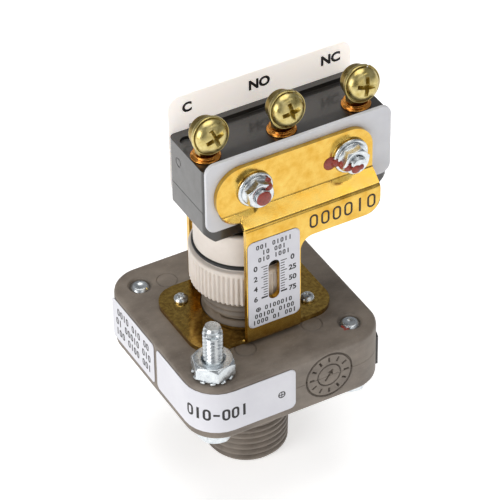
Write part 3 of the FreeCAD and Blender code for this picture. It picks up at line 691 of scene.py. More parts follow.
    def joined(self, *others: "Blank") -> "Blank":
        """Add other shapes to this one.

        Args:
            *others: The shapes to add.

        Returns:
            This shape.
        """
        for other in others:
            mesh = other.mesh("part")
            self.bm.from_mesh(mesh)
            bpy.data.meshes.remove(mesh)
        return self

    def ringed(self, count: int, centre: Sequence[float] = (0, 0, 0)) -> "Blank":
        """Repeat the shape all round +Z."""
        bmesh.ops.spin(self.bm, geom=self.bm.verts[:] + self.bm.edges[:] + self.bm.faces[:],
                       cent=Vector(centre),
                       axis=Z_AXIS, dvec=(0, 0, 0), angle=math.tau * (count - 1) / count, steps=count - 1,
                       use_merge=False, use_duplicate=True)
        return self

    def carved(self, tool: "Blank", how: Cut = Cut.AWAY) -> "Blank":
        """Combine the shape with a tool.

        Args:
            tool: The other shape.
            how: Whether the tool is cut away or only the shared part kept.

        Returns:
            This shape, after the cut.
        """
        base, cutter = [bpy.data.objects.new(name, blank.mesh(name))
                        for name, blank in (("carved_base", self), ("carved_tool", tool))]
        for thing in (base, cutter):
            bpy.context.scene.collection.objects.link(thing)
        step = base.modifiers.new("cut", "BOOLEAN")
        step.object, step.operation, step.solver = cutter, how.value, "EXACT"
        step.use_self = True
        result = bpy.data.meshes.new_from_object(base.evaluated_get(bpy.context.evaluated_depsgraph_get()))
        self.bm.clear()
        self.bm.from_mesh(result)
        meshes = [base.data, cutter.data, result]
        for thing in (base, cutter):
            bpy.data.objects.remove(thing)
        for mesh in meshes:
            bpy.data.meshes.remove(mesh)
        return self

    def mesh(self, name: str) -> bpy.types.Mesh:
        """Return the shape as a mesh.

        Args:
            name: The mesh's name.

        Returns:
            The mesh.
        """
        made = bpy.data.meshes.new(name)
        self.bm.to_mesh(made)
        return made


def upright(edge: bmesh.types.BMEdge) -> bool:
    """Tell whether an edge runs along Z."""
    low, high = (vert.co for vert in edge.verts)
    return abs((high - low).normalized().z) > 0.99


def rim_at(height: float) -> Callable[[bmesh.types.BMEdge], bool]:
    """Return a test for the sharp edges that lie at a height.

    Args:
        height: The height.

    Returns:
        The test.
    """
    def test(edge: bmesh.types.BMEdge) -> bool:
        """Tell whether a sharp edge lies at the height."""
        return all(abs(vert.co.z - height) < 1e-3 for vert in edge.verts) and edge.calc_face_angle(0.0) > 0.5
    return test


@dataclass(frozen=True)
class BentPath:
    """A line with rounded corners that a flat sheet is bent along.

    Attributes:
        corners: First end, each corner and last end, as u, v and radius.
        start: Length along the line that its first end stands for.
    """

    corners: tuple[Corner, ...]
    start: float = 0.0

    def stations(self, parts: int = 7) -> list[tuple[float, float, float]]:
        """Return length, u and v at the ends and all round every corner.

        Args:
            parts: Steps round each corner.

        Returns:
            Each station, in order along the line.
        """
        points = [Vector(corner[:2]) for corner in self.corners]
        line = [points[0]]
        for before, here, after, (_, _, radius) in zip(points, points[1:], points[2:], self.corners[1:-1]):
            into, out = (here - before).normalized(), (after - here).normalized()
            turn = into.angle_signed(out)
            reach = radius * math.tan(abs(turn) / 2)
            side = Vector((-into.y, into.x)) * (-math.copysign(radius, turn))
            centre = here - into * reach + side
            arm = here - into * reach - centre
            for part in range(parts + 1):
                angle = -turn * part / parts
                line.append(centre + Vector((arm.x * math.cos(angle) - arm.y * math.sin(angle),
                                             arm.x * math.sin(angle) + arm.y * math.cos(angle))))
        line.append(points[-1])
        found, length = [], self.start
        for index, point in enumerate(line):
            length += (point - line[index - 1]).length if index else 0.0
            found.append((length, point.x, point.y))
        return found

    def at(self, length: float) -> tuple[float, float]:
        """Return u and v at a length along the line.

        Args:
            length: The length.

        Returns:
            The place, as u and v.
        """
        stations = self.stations()
        for (low, u0, v0), (high, u1, v1) in zip(stations, stations[1:]):
            if length <= high or high == stations[-1][0]:
                share = (length - low) / (high - low)
                return u0 + (u1 - u0) * share, v0 + (v1 - v0) * share
        raise ValueError("the line has no length")

    def length_where(self, test: Callable[[float, float], float], last: bool = False) -> float:
        """Return the length at which a value of u and v changes sign, the first or last time.

        Args:
            test: Gives the value.
            last: Take the last change instead of the first.

        Returns:
            The length.
        """
        stations = self.stations()
        found = []
        for (low, u0, v0), (high, u1, v1) in zip(stations, stations[1:]):
            a, b = test(u0, v0), test(u1, v1)
            if a * b <= 0 and a != b:
                found.append(low + (high - low) * a / (a - b))
        return found[-1] if last else found[0]


@dataclass
class Bench:
    """Turns shapes into finished pieces of the model."""

    made: int = 0

    def finish(self, blank: Blank, name: str, finish: Finish, replaces: Sequence[str] = (),
               slot: Optional[str] = None, body: str = Body.SWITCH.value, edge: float = 0.0,
               wall: float = 0.0) -> bpy.types.Object:
        """Make a piece from a shape.

        Args:
            blank: The shape, in millimetres.
            name: The piece's name.
            finish: Its surface.
            replaces: Nodes of the frame that it stands for.
            slot: The record's material slot; not used.
            body: The frame's body that it moves with.
            edge: Width of the rounding on sharp edges, in mm, or zero.
            wall: Thickness given to a sheet behind its face, in mm, or zero.

        Returns:
            The finished piece.
        """
        bmesh.ops.scale(blank.bm, verts=blank.bm.verts, vec=(MM, MM, MM))
        for face in blank.bm.faces:
            face.smooth = True
        piece = bpy.data.objects.new(name, blank.mesh(name))
        bpy.context.scene.collection.objects.link(piece)
        piece.data.materials.append(finish.material())
        if wall:
            solid = piece.modifiers.new("wall", "SOLIDIFY")
            solid.thickness, solid.offset, solid.use_even_offset = wall * MM, -1.0, True
        if edge:
            rounding = piece.modifiers.new("edge", "BEVEL")
            rounding.width, rounding.segments, rounding.limit_method = edge * MM, 2, "ANGLE"
            rounding.angle_limit = math.radians(35)
            rounding.use_clamp_overlap = True
        even = piece.modifiers.new("even_normals", "WEIGHTED_NORMAL")
        even.keep_sharp = True
        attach(piece, body)
        if replaces:
            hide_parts(*replaces)
        self.made += 1
        faces = len(piece.data.polygons)
        log.info("%s rides on %s, %d faces", name, body, faces)
        return piece

    def carry_over(self, node: str, finish: Finish) -> None:
        """Give a node of the frame its finish.

        Args:
            node: The node's name.
            finish: Its surface.
        """
        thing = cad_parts[node]
        thing.data.materials.clear()
        thing.data.materials.append(finish.material())
        log.info("%s kept, finished in %s", node, finish.name)


def lettering(text: str, height: float, boldness: float = 0.0) -> Blank:
    """Make flat letters in the XY plane.

    Args:
        text: What to write.
        height: Height of a capital, in mm.
        boldness: How far each outline is pushed out, in mm.

    Returns:
        The letters, centred on the origin and facing +Z.
    """
    curve = bpy.data.curves.new("letters", "FONT")
    curve.body, curve.size, curve.offset = text, height / 0.7, boldness
    curve.align_x, curve.align_y = "CENTER", "CENTER"
    curve.resolution_u = 4
    thing = bpy.data.objects.new("letters", curve)
    bpy.context.scene.collection.objects.link(thing)
    mesh = bpy.data.meshes.new_from_object(thing.evaluated_get(bpy.context.evaluated_depsgraph_get()))
    blank = Blank()
    blank.bm.from_mesh(mesh)
    bpy.data.objects.remove(thing)
    bpy.data.curves.remove(curve)
    bpy.data.meshes.remove(mesh)
    return blank


def bar(x: float, y: float, width: float, height: float, radius: float = 0.0) -> Blank:
    """Make a flat bar in the XY plane, centred on a point."""
    w, h = width / 2, height / 2
    return Blank.sheet([(x - w, y - h, radius), (x + w, y - h, radius), (x + w, y + h, radius),
                        (x - w, y + h, radius)])


def figure(kind: str, height: float, stroke: float) -> Blank:
    """Make one plain figure in the XY plane, standing on +Y: an oval, a stroke, a dash or a crossed ring.

    Args:
        kind: "0", "I", "-" or "+".
        height: Its height, in mm.
        stroke: Width of its lines, in mm.

    Returns:
        The figure, centred on the origin and facing +Z.
    """
    if kind == "I":
        return bar(0, 0, stroke * 1.1, height)
    if kind == "-":
        return bar(0, 0, height * 0.45, stroke)
    w, h = height * (0.29 if kind == "0" else 0.5), height / 2
    inner_w, inner_h = w - stroke, h - stroke
    ring = Blank.sheet([(-w, -h, w * 0.98), (w, -h, w * 0.98), (w, h, w * 0.98), (-w, h, w * 0.98)],
                       [[(-inner_w, -inner_h, inner_w * 0.98), (inner_w, -inner_h, inner_w * 0.98),
                         (inner_w, inner_h, inner_w * 0.98), (-inner_w, inner_h, inner_w * 0.98)]])
    if kind == "+":
        ring.joined(bar(0, 0, inner_w * 2.1, stroke * 0.8), bar(0, 0, stroke * 0.8, inner_h * 2.1))
    return ring


def figures(row: str, height: float, stroke: float, pitch: float) -> Blank:
    """Make a row of plain figures along +X, centred on the origin; a space leaves a gap.

    Args:
        row: The figures in order.
        height: Their height, in mm.
        stroke: Width of their lines, in mm.
        pitch: Distance from one to the next, in mm.

    Returns:
        The row, facing +Z.
    """
    blank, start = Blank(), -(len(row) - 1) * pitch / 2
    for number, kind in enumerate(row):
        if kind != " ":
            blank.joined(figure(kind, height, stroke).moved((start + number * pitch, 0, 0)))
    return blank


# ---------------------------------------------------------------- sub-assemblies

@dataclass
class MouldedBody:
    """The two square mouldings, with the threaded port below and the knob's hub above.

    Attributes:
        bench: Where pieces are finished.
    """

    bench: Bench
    width: float = 51.0
    corner: float = 8.5
    bottom: float = 27.0
    split: float = 35.0
    top: float = 42.9
    rim: float = 1.2
    screw_at: float = 18.6
    port_end: float = 10.35
    port_length: float = 24.0
    taper_length: float = 23.0
    port_root: float = 10.95
    port_pitch: float = INCH / 14
    port_bore: float = 5.56
    hub_crest: float = 10.2
    hub_pitch: float = INCH / 16
    hub_top: float = 58.0
    chamber: float = 8.3
    lower_chamber: float = 9.0

    def slab(self, low: float, high: float, rounded_end: float) -> Blank:
        """Make one square moulding with rounded corners and one rounded-over end.

        Args:
            low: Height of its lower face.
            high: Height of its upper face.
            rounded_end: Which of the two is rounded over.

        Returns:
            The moulding.
        """
        half = self.width / 2
        blank = Blank.block((-half, -half, low), (half, half, high))
        blank.bevelled(self.corner, 14, upright).bevelled(self.rim, 4, rim_at(rounded_end))
        return blank.bevelled(0.14, 2, rim_at(self.split))

    def mould_clock(self) -> Blank:
        """Make the cutter of the plain date clock that the mould leaves in the front face.

        Returns:
            The cutter, in its place.
        """
        depth = 0.7
        outer = Blank.turned([(5.9, -depth), (6.5, -depth), (6.5, 1.0), (5.9, 1.0)], closed=True)
        inner = Blank.turned([(2.9, -depth), (3.3, -depth), (3.3, 1.0), (2.9, 1.0)], closed=True)
        ticks = Blank.block((4.0, -0.28, -depth), (5.4, 0.28, 1.0)).ringed(12)
        stem = Blank.block((-0.3, -1.9, -depth), (0.3, 0.9, 1.0))
        head = Blank()
        bmesh.ops.create_cone(head.bm, cap_ends=True, segments=3, radius1=1.1, radius2=1.1, depth=1.0 + depth,
                              matrix=Matrix.Translation((0, 1.0, (1.0 - depth) / 2)))
        return outer.joined(inner, ticks, stem.joined(head).spun(-35)).faced(Facing.FRONT.value,
                                                                            (8.9, -self.width / 2, 35.3))

    def make_lower(self) -> None:
        """Make the lower moulding: slab, tapered pipe thread and threaded bore."""
        taper = (self.port_root - self.port_end) / self.taper_length
        thread = Blank.threaded(self.port_root, self.port_root - 0.8, self.port_pitch, 0.0, self.port_length,
                                64,
                                land=0.45)
        thread.shaped(lambda at: self.tapered(at, taper))
        neck = Blank.turned([(0, 23.0), (10.2, 23.0), (10.75, 24.0), (10.75, 27.5), (0, 27.5)])
        tap = Blank.threaded(self.port_bore + 0.55, self.port_bore, INCH / 18, -1.0, 13.0, steps=48)
        mouth = Blank.turned([(0, -1.0), (7.4, -1.0), (self.port_bore, 0.9), (0, 0.9)])
        passage = Blank.turned([(0, 10.0), (self.port_bore, 10.0), (self.port_bore, 14.0), (2.0, 15.2),
                                (2.0, 26.0),
                                (0, 26.0)], steps=48)
        for tool in (tap, mouth, passage):
            thread.carved(tool)
        slab = self.slab(self.bottom, self.split, self.bottom).carved(self.mould_clock())
        (_, _, pocket), (rim, _, _) = [[side / MM for side in corner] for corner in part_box("diaphragm")]
        slab.carved(Blank.turned([(0, 31.5), (self.lower_chamber, 31.5), (self.lower_chamber, pocket),
                                  (rim + 0.1, pocket), (rim + 0.1, 36.0),
                                  (0, 36.0)], steps=64))
        self.bench.finish(slab.joined(thread, neck), "lower_moulding", BODY_NYLON,
                          ["lower_body"], "body_plastic")

    def tapered(self, at: Vector, taper: float) -> Vector:
        """Draw a point of the port's thread in to the taper, and round off the end.

        Args:
            at: The point.
            taper: Loss of radius for each mm down.

        Returns:
            Where it goes.
        """
        radius = math.hypot(at.x, at.y)
        if radius < 1.0:
            return at
        wanted = min(radius - taper * (self.port_length - at.z), self.port_end - 1.1 + at.z * 0.9)
        return Vector((at.x * wanted / radius, at.y * wanted / radius, at.z))

    def make_upper(self) -> None:
        """Make the upper moulding: slab with screw recesses and ejector marks, and the hub."""
        slab = self.slab(self.split, self.top, self.top)
        tools = self.mould_clock()
        for x, y in ((1, -1), (-1, 1), (1, 1), (-1, -1)):
            moat = 3.1 if (x, y) != (-1, -1) else 2.7
            tools.joined(Blank.turned([(0, -9.0), (2.44, -9.0), (2.44, -0.55), (moat, -0.55),
                                       (moat + 0.15, 1.0),
                                       (0, 1.0)], 48).moved((x * self.screw_at, y * self.screw_at, self.top)))
        for x, y in ((-8.0, -15.0), (10.2, -14.9), (-12.0, 17.0), (12.5, 17.0)):
            tools.joined(Blank.turned([(2.4, -0.28), (2.7, -0.28), (2.8, 1.0), (2.3, 1.0)], 48, closed=True)
                         .moved((x, y, self.top)))
        slab.carved(tools).carved(Blank.turned([(0, 34.0), (self.chamber, 34.0), (self.chamber, 44.0),
                                                (0, 44.0)], steps=64))
        hub = Blank.threaded(self.hub_crest, self.hub_crest - 0.7, self.hub_pitch, 46.0, self.hub_top, 64,
                             land=0.4)
        foot = Blank.turned([(0, self.top - 0.5), (10.3, self.top - 0.5), (10.3, 44.3), (9.7, 44.8),
                             (9.7, 46.5),
                             (0, 46.5)])
        hub.joined(foot)
        slab.joined(hub.carved(Blank.turned([(0, 38.0), (self.chamber, 38.0), (self.chamber, 60.0),
                                             (0, 60.0)], steps=64)))
        self.bench.finish(slab, "upper_moulding", BODY_NYLON, ["upper_body"], "body_plastic")

    def make(self) -> None:
        """Make both mouldings and finish the pieces between and on them."""
        self.make_lower()
        self.make_upper()
        self.bench.carry_over("diaphragm", RUBBER_SHEET)
        self.bench.carry_over("rating_pad", PAD_FOIL)


@dataclass
class ClampScrews:
    """Hex-head screws through the body from below, and the ground stud with its nut and toothed washer."""

    bench: Bench
    at: float = 18.6
    flats: float = 7.94
    seat: float = 27.0
    head_height: float = 3.3
    top: float = 42.9
    radius: float = 2.41
    stud_radius: float = 2.43
    stud_top: float = 57.0
    pitch: float = INCH / 24
    nut_flats: float = 9.53
    nut_low: float = 43.86
    nut_height: float = 3.6
    washer_low: float = 42.94
    washer_height: float = 0.9
    washer_radius: float = 5.2
    teeth: int = 12
    hole: float = 2.49
    taper_from: float = 55.4
    taper: float = 0.13

    def head(self) -> Blank:
        """Make an indented hex head that hangs below the body.

        Returns:
            The head, on the Z axis.
        """
        low = self.seat - self.head_height
        head = Blank.hexagon(self.flats, low, self.seat - 0.02, bottom=0.55)
        dish = Blank.turned([(0, low + 0.7), (1.6, low + 0.6), (2.4, low), (2.5, low - 1.0), (0, low - 1.0)],
                            32)
        return head.carved(dish)

    def flush_screw(self, turn: float) -> Blank:
        """Make a clamp screw whose chamfered end stands level with the body's top."""
        tip = Blank.turned([(0, self.seat - 1), (self.radius, self.seat - 1), (self.radius, self.top - 0.75),
                            (1.75, self.top - 0.05), (0.9, self.top - 0.02), (0.5, self.top - 0.2),
                            (0, self.top - 0.25)], 40)
        return tip.joined(self.head()).spun(turn)

    def make(self) -> None:
        """Make the screws, the stud, its nut and washer."""
        screws = Blank()
        for (x, y), turn in zip(((1, -1), (-1, 1), (1, 1)), (12.0, 40.0, 25.0)):
            screws.joined(self.flush_screw(turn).moved((x * self.at, y * self.at, 0)))
        self.bench.finish(screws, "clamp_screws", BRIGHT_ZINC, ["body_screws"], "zinc_steel",
                          edge=0.12)
        self.make_stud()
        self.make_nut()
        self.make_washer()

    def make_stud(self) -> None:
        """Make the long screw, with a cutting notch in its tapered tip."""
        rod = Blank.threaded(self.stud_radius, self.stud_radius - 0.55, self.pitch, 44.0, self.stud_top, 40)

        def drawn(at: Vector) -> Vector:
            """Draw a point of the tip in to its taper."""
            share = 1 - max(0.0, at.z - self.taper_from) * self.taper
            return Vector((at.x * share, at.y * share, at.z))

        rod.shaped(drawn)
        notch = Blank.block((-1.3, -3.0, 54.7), (1.1, -0.9, 55.9)).spun(-28, (1, 0, 0),
                                                                        (0, -1.6, 55.3)).spun(-24)
        rod.carved(notch)
        shank = Blank.turned([(0, self.seat - 1), (2.2, self.seat - 1), (2.2, 44.5), (0, 44.5)], 32)
        rod.joined(shank, self.head().spun(8)).moved((-self.at, -self.at, 0))
        self.bench.finish(rod, "ground_stud_screw", BRIGHT_ZINC, ["ground_stud"], "zinc_steel")

    def make_nut(self) -> None:
        """Make the ground nut with turned-down corners and a countersunk hole."""
        high = self.nut_low + self.nut_height
        nut = Blank.hexagon(self.nut_flats, self.nut_low, high, top=0.85)
        nut.carved(Blank.turned([(0, self.nut_low - 1), (self.hole, self.nut_low - 1),
                                 (self.hole, high - 0.5), (3.0, high),
                                 (3.0, high + 1), (0, high + 1)], 40))
        self.bench.finish(nut.spun(-16.6).moved((-self.at, -self.at, 0)), "ground_hex_nut", BRIGHT_ZINC,
                          ["ground_nut"], "zinc_steel", Body.GROUND_NUT.value, edge=0.18)

    def make_washer(self) -> None:
        """Make the washer whose teeth are twisted up out of its rim."""
        low, high = self.washer_low + 0.15, self.washer_low + self.washer_height - 0.15
        ring = Blank.turned([(self.hole, low), (4.5, low), (4.5, high), (self.hole, high)], 48, closed=True)
        tooth = Blank.block((4.2, -0.66, low - 0.08), (self.washer_radius, 0.66, high + 0.08))
        tooth.bevelled(0.26, 3, lambda edge: True).spun(16, (1, 0, 0), (4.6, 0, (low + high) / 2))
        ring.joined(tooth.ringed(self.teeth))
        self.bench.finish(ring.moved((-self.at, -self.at, 0)), "ground_toothed_washer", BRIGHT_ZINC,
                          ["ground_star_washer"], "zinc_steel", Body.GROUND_WASHER.value, edge=0.1)


@dataclass
class Bracket:
    """One bent sheet: plate, two uprights, inward joggles and flanges, with its two small screws."""

    bench: Bench
    wall: float = 1.2
    plate_length: float = 37.8
    plate_depth: float = 26.4
    plate_corner: float = 6.5
    hub_hole: float = 10.6
    low: float = 42.9
    reach: float = 14.8
    half_upright: float = 7.25
    joggle: tuple[float, float] = (77.4, 80.8)
    flange_reach: float = 10.9
    flange: tuple[float, float] = (79.2, 93.2)
    left: float = -12.7
    right: float = 28.9
    flange_corner: float = 6.0
    tab_bottom: float = 70.1
    tab_corner: float = 4.0
    tab_fillet: float = 3.5
    slot: tuple[float, float] = (55.2, 66.7)
    slot_width: float = 3.0
    bolt_x: tuple[float, float] = (-2.7, 22.7)
    bolt_height: float = 86.2
    bolt_hole: float = 1.85
    relief: float = 0.7
    screws: tuple[tuple[float, float], ...] = ((-13.3, 7.4), (13.3, -7.4))

    def path(self) -> BentPath:
        """Return the line that the sheet's outer face follows, from the front flange to the rear one."""
        y, top, (low, high), reach = self.flange_reach, self.flange[1], self.joggle, self.reach
        return BentPath(((-y, top, 0), (-y, high, 0.8), (-reach, low, 2.0), (-reach, self.low, 2.0),
                         (reach, self.low, 2.0), (reach, low, 2.0), (y, high, 0.8), (y, top, 0)))

    def make_sheet(self) -> None:
        """Cut the flat sheet with its holes, then bend it."""
        path = self.path()

        def front(height: float) -> float:
            """Return the length at which the front of the sheet is at a height."""
            return path.length_where(lambda u, v: v - height)

        def back(height: float) -> float:
            """Return the length at which the back of the sheet is at a height."""
            return path.length_where(lambda u, v: v - height, last=True)

        ends = (path.stations()[0][0], path.stations()[-1][0])
        plate = (path.length_where(lambda u, v: u + self.plate_depth / 2, last=True),
                 path.length_where(lambda u, v: u - self.plate_depth / 2))
        x, long, relief = self.half_upright, self.plate_length / 2, self.relief
        round_end = (self.flange[1] - self.flange[0]) / 2
        outline = [(long, plate[0], self.plate_corner), (x, plate[0], relief), (x, front(self.tab_bottom),
                                                                              self.tab_fillet),
                   (self.right, front(self.tab_bottom), self.tab_corner),
                   (self.right, ends[0], self.flange_corner),
                   (self.left, ends[0], round_end), (self.left, front(self.flange[0]), round_end),
                   (-x, front(self.flange[0]), 0.5), (-x, plate[0], relief),
                   (-long, plate[0], self.plate_corner), (-long, plate[1], self.plate_corner),
                   (-x, plate[1], relief), (-x, back(self.flange[0]), 0.5),
                   (self.left, back(self.flange[0]), round_end), (self.left, ends[1], round_end),
                   (self.right, ends[1], self.flange_corner),
                   (self.right, back(self.flange[0]), self.flange_corner),
                   (x, back(self.flange[0]), 0.5), (x, plate[1], relief), (long, plate[1], self.plate_corner)]
        w, r = self.slot_width / 2, self.slot_width / 2 - 0.01
        slot = [(w, front(self.slot[0]), r), (w, front(self.slot[1]), r), (-w, front(self.slot[1]), r),
                (-w, front(self.slot[0]), r)]
        middle = sum(plate) / 2
        rounds = [(0, middle, self.hub_hole)] + [(bolt, at(self.bolt_height),
                                                  self.bolt_hole) for bolt in self.bolt_x
                                                for at in (front, back)]
        blank = Blank.sheet(outline, [slot], rounds)
        blank.bent(path, lambda across, u, v: (across, u, v))
        self.bench.finish(blank, "bent_bracket", YELLOW_ZINC, ["mounting_bracket"],
                          "yellow_zinc", edge=0.16, wall=self.wall)

    def make_screws(self) -> None:
        """Make the two small screws that hold the plate down."""
        seat = self.low + self.wall
        both = Blank()
        for x, y in self.screws:
            head = Blank.turned([(0, seat + 1.35), (0.7, seat + 1.42), (1.25, seat + 1.25),
                                 (1.7, seat + 0.75),
                                 (1.8, seat + 0.3), (1.75, seat + 0.01), (0, seat + 0.01)], 40)
            recess = Blank.block((-0.85, -0.2, seat + 0.7), (0.85, 0.2, seat + 2))
            recess.joined(Blank.block((-0.2, -0.85, seat + 0.7), (0.2, 0.85, seat + 2))).spun(31)
            both.joined(head.carved(recess).moved((x, y, 0)))
        self.bench.finish(both, "bracket_round_screws", BRIGHT_ZINC, ["bracket_screws"],
                          "zinc_steel")

    def make_stamp(self) -> None:
        """Make a row of six plain stamped figures on the tab."""
        stamp = figures("0000I0", 3.9, 0.5, 3.12).faced(Facing.FRONT.value, (18.6, -self.reach - 0.03, 73.9))
        self.bench.finish(stamp, "stamped_figures", STAMP, wall=0.02)

    def make(self) -> None:
        """Make the bracket, its screws and its stamp."""
        self.make_sheet()
        self.make_screws()
        self.make_stamp()


@dataclass
class RangeAdjuster:
    """Knob with its reading ring, the spring it loads and the piston below."""

    bench: Bench
    bottom: float = 52.4
    skirt: float = 13.1
    skirt_top: float = 62.3
    ribs_top: float = 60.7
    ribs: int = 66
    rib_depth: float = 0.5
    cup: float = 11.9
    top: float = 72.2
    bore: float = 10.27
    cup_bore: float = 10.4
    web: tuple[float, float] = (66.3, 68.3)
    pin_hole: float = 2.2
    groove: tuple[float, float, float] = (62.7, 63.9, 11.3)
    spring_foot: float = 37.7
    spring_top: float = 65.1
    spring_radius: float = 6.4
    wire: float = 0.85
    spring_pitch: float = 3.0
    travel: float = 7.94
    piston_lift: float = 0.5

    def ribbed(self, at: Vector) -> Vector:
        """Draw a point of the skirt in between two ribs.

        Args:
            at: The point.

        Returns:
            Where it goes.
        """
        radius = math.hypot(at.x, at.y)
        if radius < self.skirt - 0.75 or at.z > self.ribs_top + 0.01:
            return at
        wave = 0.5 - 0.5 * math.cos(math.atan2(at.y, at.x) * self.ribs)
        drawn = radius - self.rib_depth * wave ** 1.6
        return Vector((at.x * drawn / radius, at.y * drawn / radius, at.z))

    def make_knob(self) -> None:
        """Turn the knob, then rib its skirt."""
        low, high, groove = self.groove
        skirt, z = self.skirt, self.bottom
        profile = [(self.bore, z + 0.6), (self.bore + 0.5, z), (skirt - 0.7, z), (skirt - 0.25, z + 0.12),
                   (skirt, z + 0.55), (skirt, self.ribs_top - 0.02), (skirt, self.ribs_top + 0.35),
                   (skirt, self.skirt_top - 0.3), (skirt - 0.3, self.skirt_top),
                   (self.cup + 0.1, self.skirt_top),
                   (self.cup, self.skirt_top + 0.1), (self.cup, low), (groove, low), (groove, high),
                   (self.cup, high),
                   (self.cup, self.top - 0.45), (self.cup - 0.15, self.top - 0.12),
                   (self.cup - 0.5, self.top),
                   (self.cup_bore + 0.35, self.top), (self.cup_bore, self.top - 0.35),
                   (self.cup_bore, self.web[1] + 0.4),
                   (self.cup_bore - 0.4, self.web[1]), (self.pin_hole + 0.3, self.web[1]),
                   (self.pin_hole, self.web[1] - 0.3), (self.pin_hole, self.web[0]), (self.bore, self.web[0])]
        knob = Blank.turned(profile, steps=self.ribs * 8, closed=True).shaped(self.ribbed)
        self.bench.finish(knob, "ribbed_knob", CREAM_ACETAL, ["adjusting_knob"], "knob_plastic",
                          Body.KNOB.value)

    def make_spring(self) -> None:
        """Coil the range spring at one fixed length, though in the switch it shortens as the knob comes down.
        """
        foot = self.spring_foot + self.piston_lift
        turns = (self.spring_top - foot - 2 * self.wire) / self.spring_pitch
        section = [(self.spring_radius + self.wire * math.cos(math.tau * k / 12),
                    foot + self.wire * (1 + math.sin(math.tau * k / 12))) for k in range(12)]
        coil = Blank.coiled(section, self.spring_pitch, turns, steps=36, closed=True)
        bmesh.ops.holes_fill(coil.bm, edges=[e for e in coil.bm.edges if e.is_boundary], sides=0)
        spring = self.bench.finish(coil.cleaned(), "coiled_range_spring", SPRING_STEEL,
                                   ["range_spring"], "spring_steel")
        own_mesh(spring)

    def make(self) -> None:
        """Make the knob and the spring, and finish the pieces inside them."""
        self.make_knob()
        self.make_spring()
        for node, finish in (("indicator_ring", NITRILE), ("thrust_washer", BRIGHT_ZINC),
                             ("piston", TURNED_ALLOY),
                             ("operating_pin", BRIGHT_ZINC)):
            self.bench.carry_over(node, finish)


@dataclass
class SnapSwitch:
    """Snap switch: case and cover, with plunger, blade and contacts inside."""

    bench: Bench
    left: float = -14.6
    right: float = 34.6
    half_depth: float = 8.7
    bottom: float = 72.5
    seam: float = 81.2
    top: float = 93.2
    corner: float = 1.6
    end_chamfer: float = 2.6
    rail: tuple[float, float, float, float] = (-9.0, 32.6, 6.9, 94.4)

    def make_case(self) -> None:
        """Make the lower half, whose ends are chamfered below."""
        case = Blank.block((self.left, -self.half_depth, self.bottom),
                           (self.right, self.half_depth, self.seam))
        case.bevelled(self.end_chamfer, 1,
                      lambda edge: all(abs(v.co.z - self.bottom) < 1e-3 for v in edge.verts)
                      and abs(edge.verts[0].co.x - edge.verts[1].co.x) < 1e-3)
        case.bevelled(self.corner, 5, upright)
        case.carved(Blank.turned([(0, 70.0), (1.6, 70.0), (1.6, 75.0), (0, 75.0)], 32))
        self.bench.finish(case, "switch_lower_case", PHENOLIC, ["switch_case"], "switch_plastic",
                          edge=0.22)

    def make_cover(self) -> None:
        """Make the upper half, with its rear rail, gate recess and ejector mark."""
        cover = Blank.block((self.left, -self.half_depth, self.seam), (self.right, self.half_depth, self.top))
        cover.bevelled(self.corner, 5, upright)
        low, high, front, crest = self.rail
        cover.joined(Blank.block((low, front, self.top - 0.5), (high, self.half_depth, crest)))
        cover.carved(Blank.turned([(0, -0.9), (1.9, -0.9), (1.9, 1), (0, 1)],
                                  32).moved((-11.6, 4.4, self.top)))
        mark = Blank.turned([(1.0, -0.12), (1.25, -0.12), (1.25, 1), (1.0, 1)], 32, closed=True)
        cover.carved(mark.faced(Facing.LEFT.value, (self.left, 3.8, 88.5)))
        self.bench.finish(cover, "switch_upper_cover", PHENOLIC, ["switch_cover"],
                          "switch_plastic", edge=0.28)

    def make(self) -> None:
        """Make both halves and finish the pieces inside them."""
        self.make_case()
        self.make_cover()
        for node, finish in (("switch_plunger", RED_BUTTON), ("snap_blade", BLADE_COPPER),
                             ("moving_contact", CONTACT_SILVER), ("blade_anchor", STRIP_BRASS),
                             ("normally_open_contact", CONTACT_SILVER),
                             ("normally_closed_contact", CONTACT_SILVER)):
            self.bench.carry_over(node, finish)


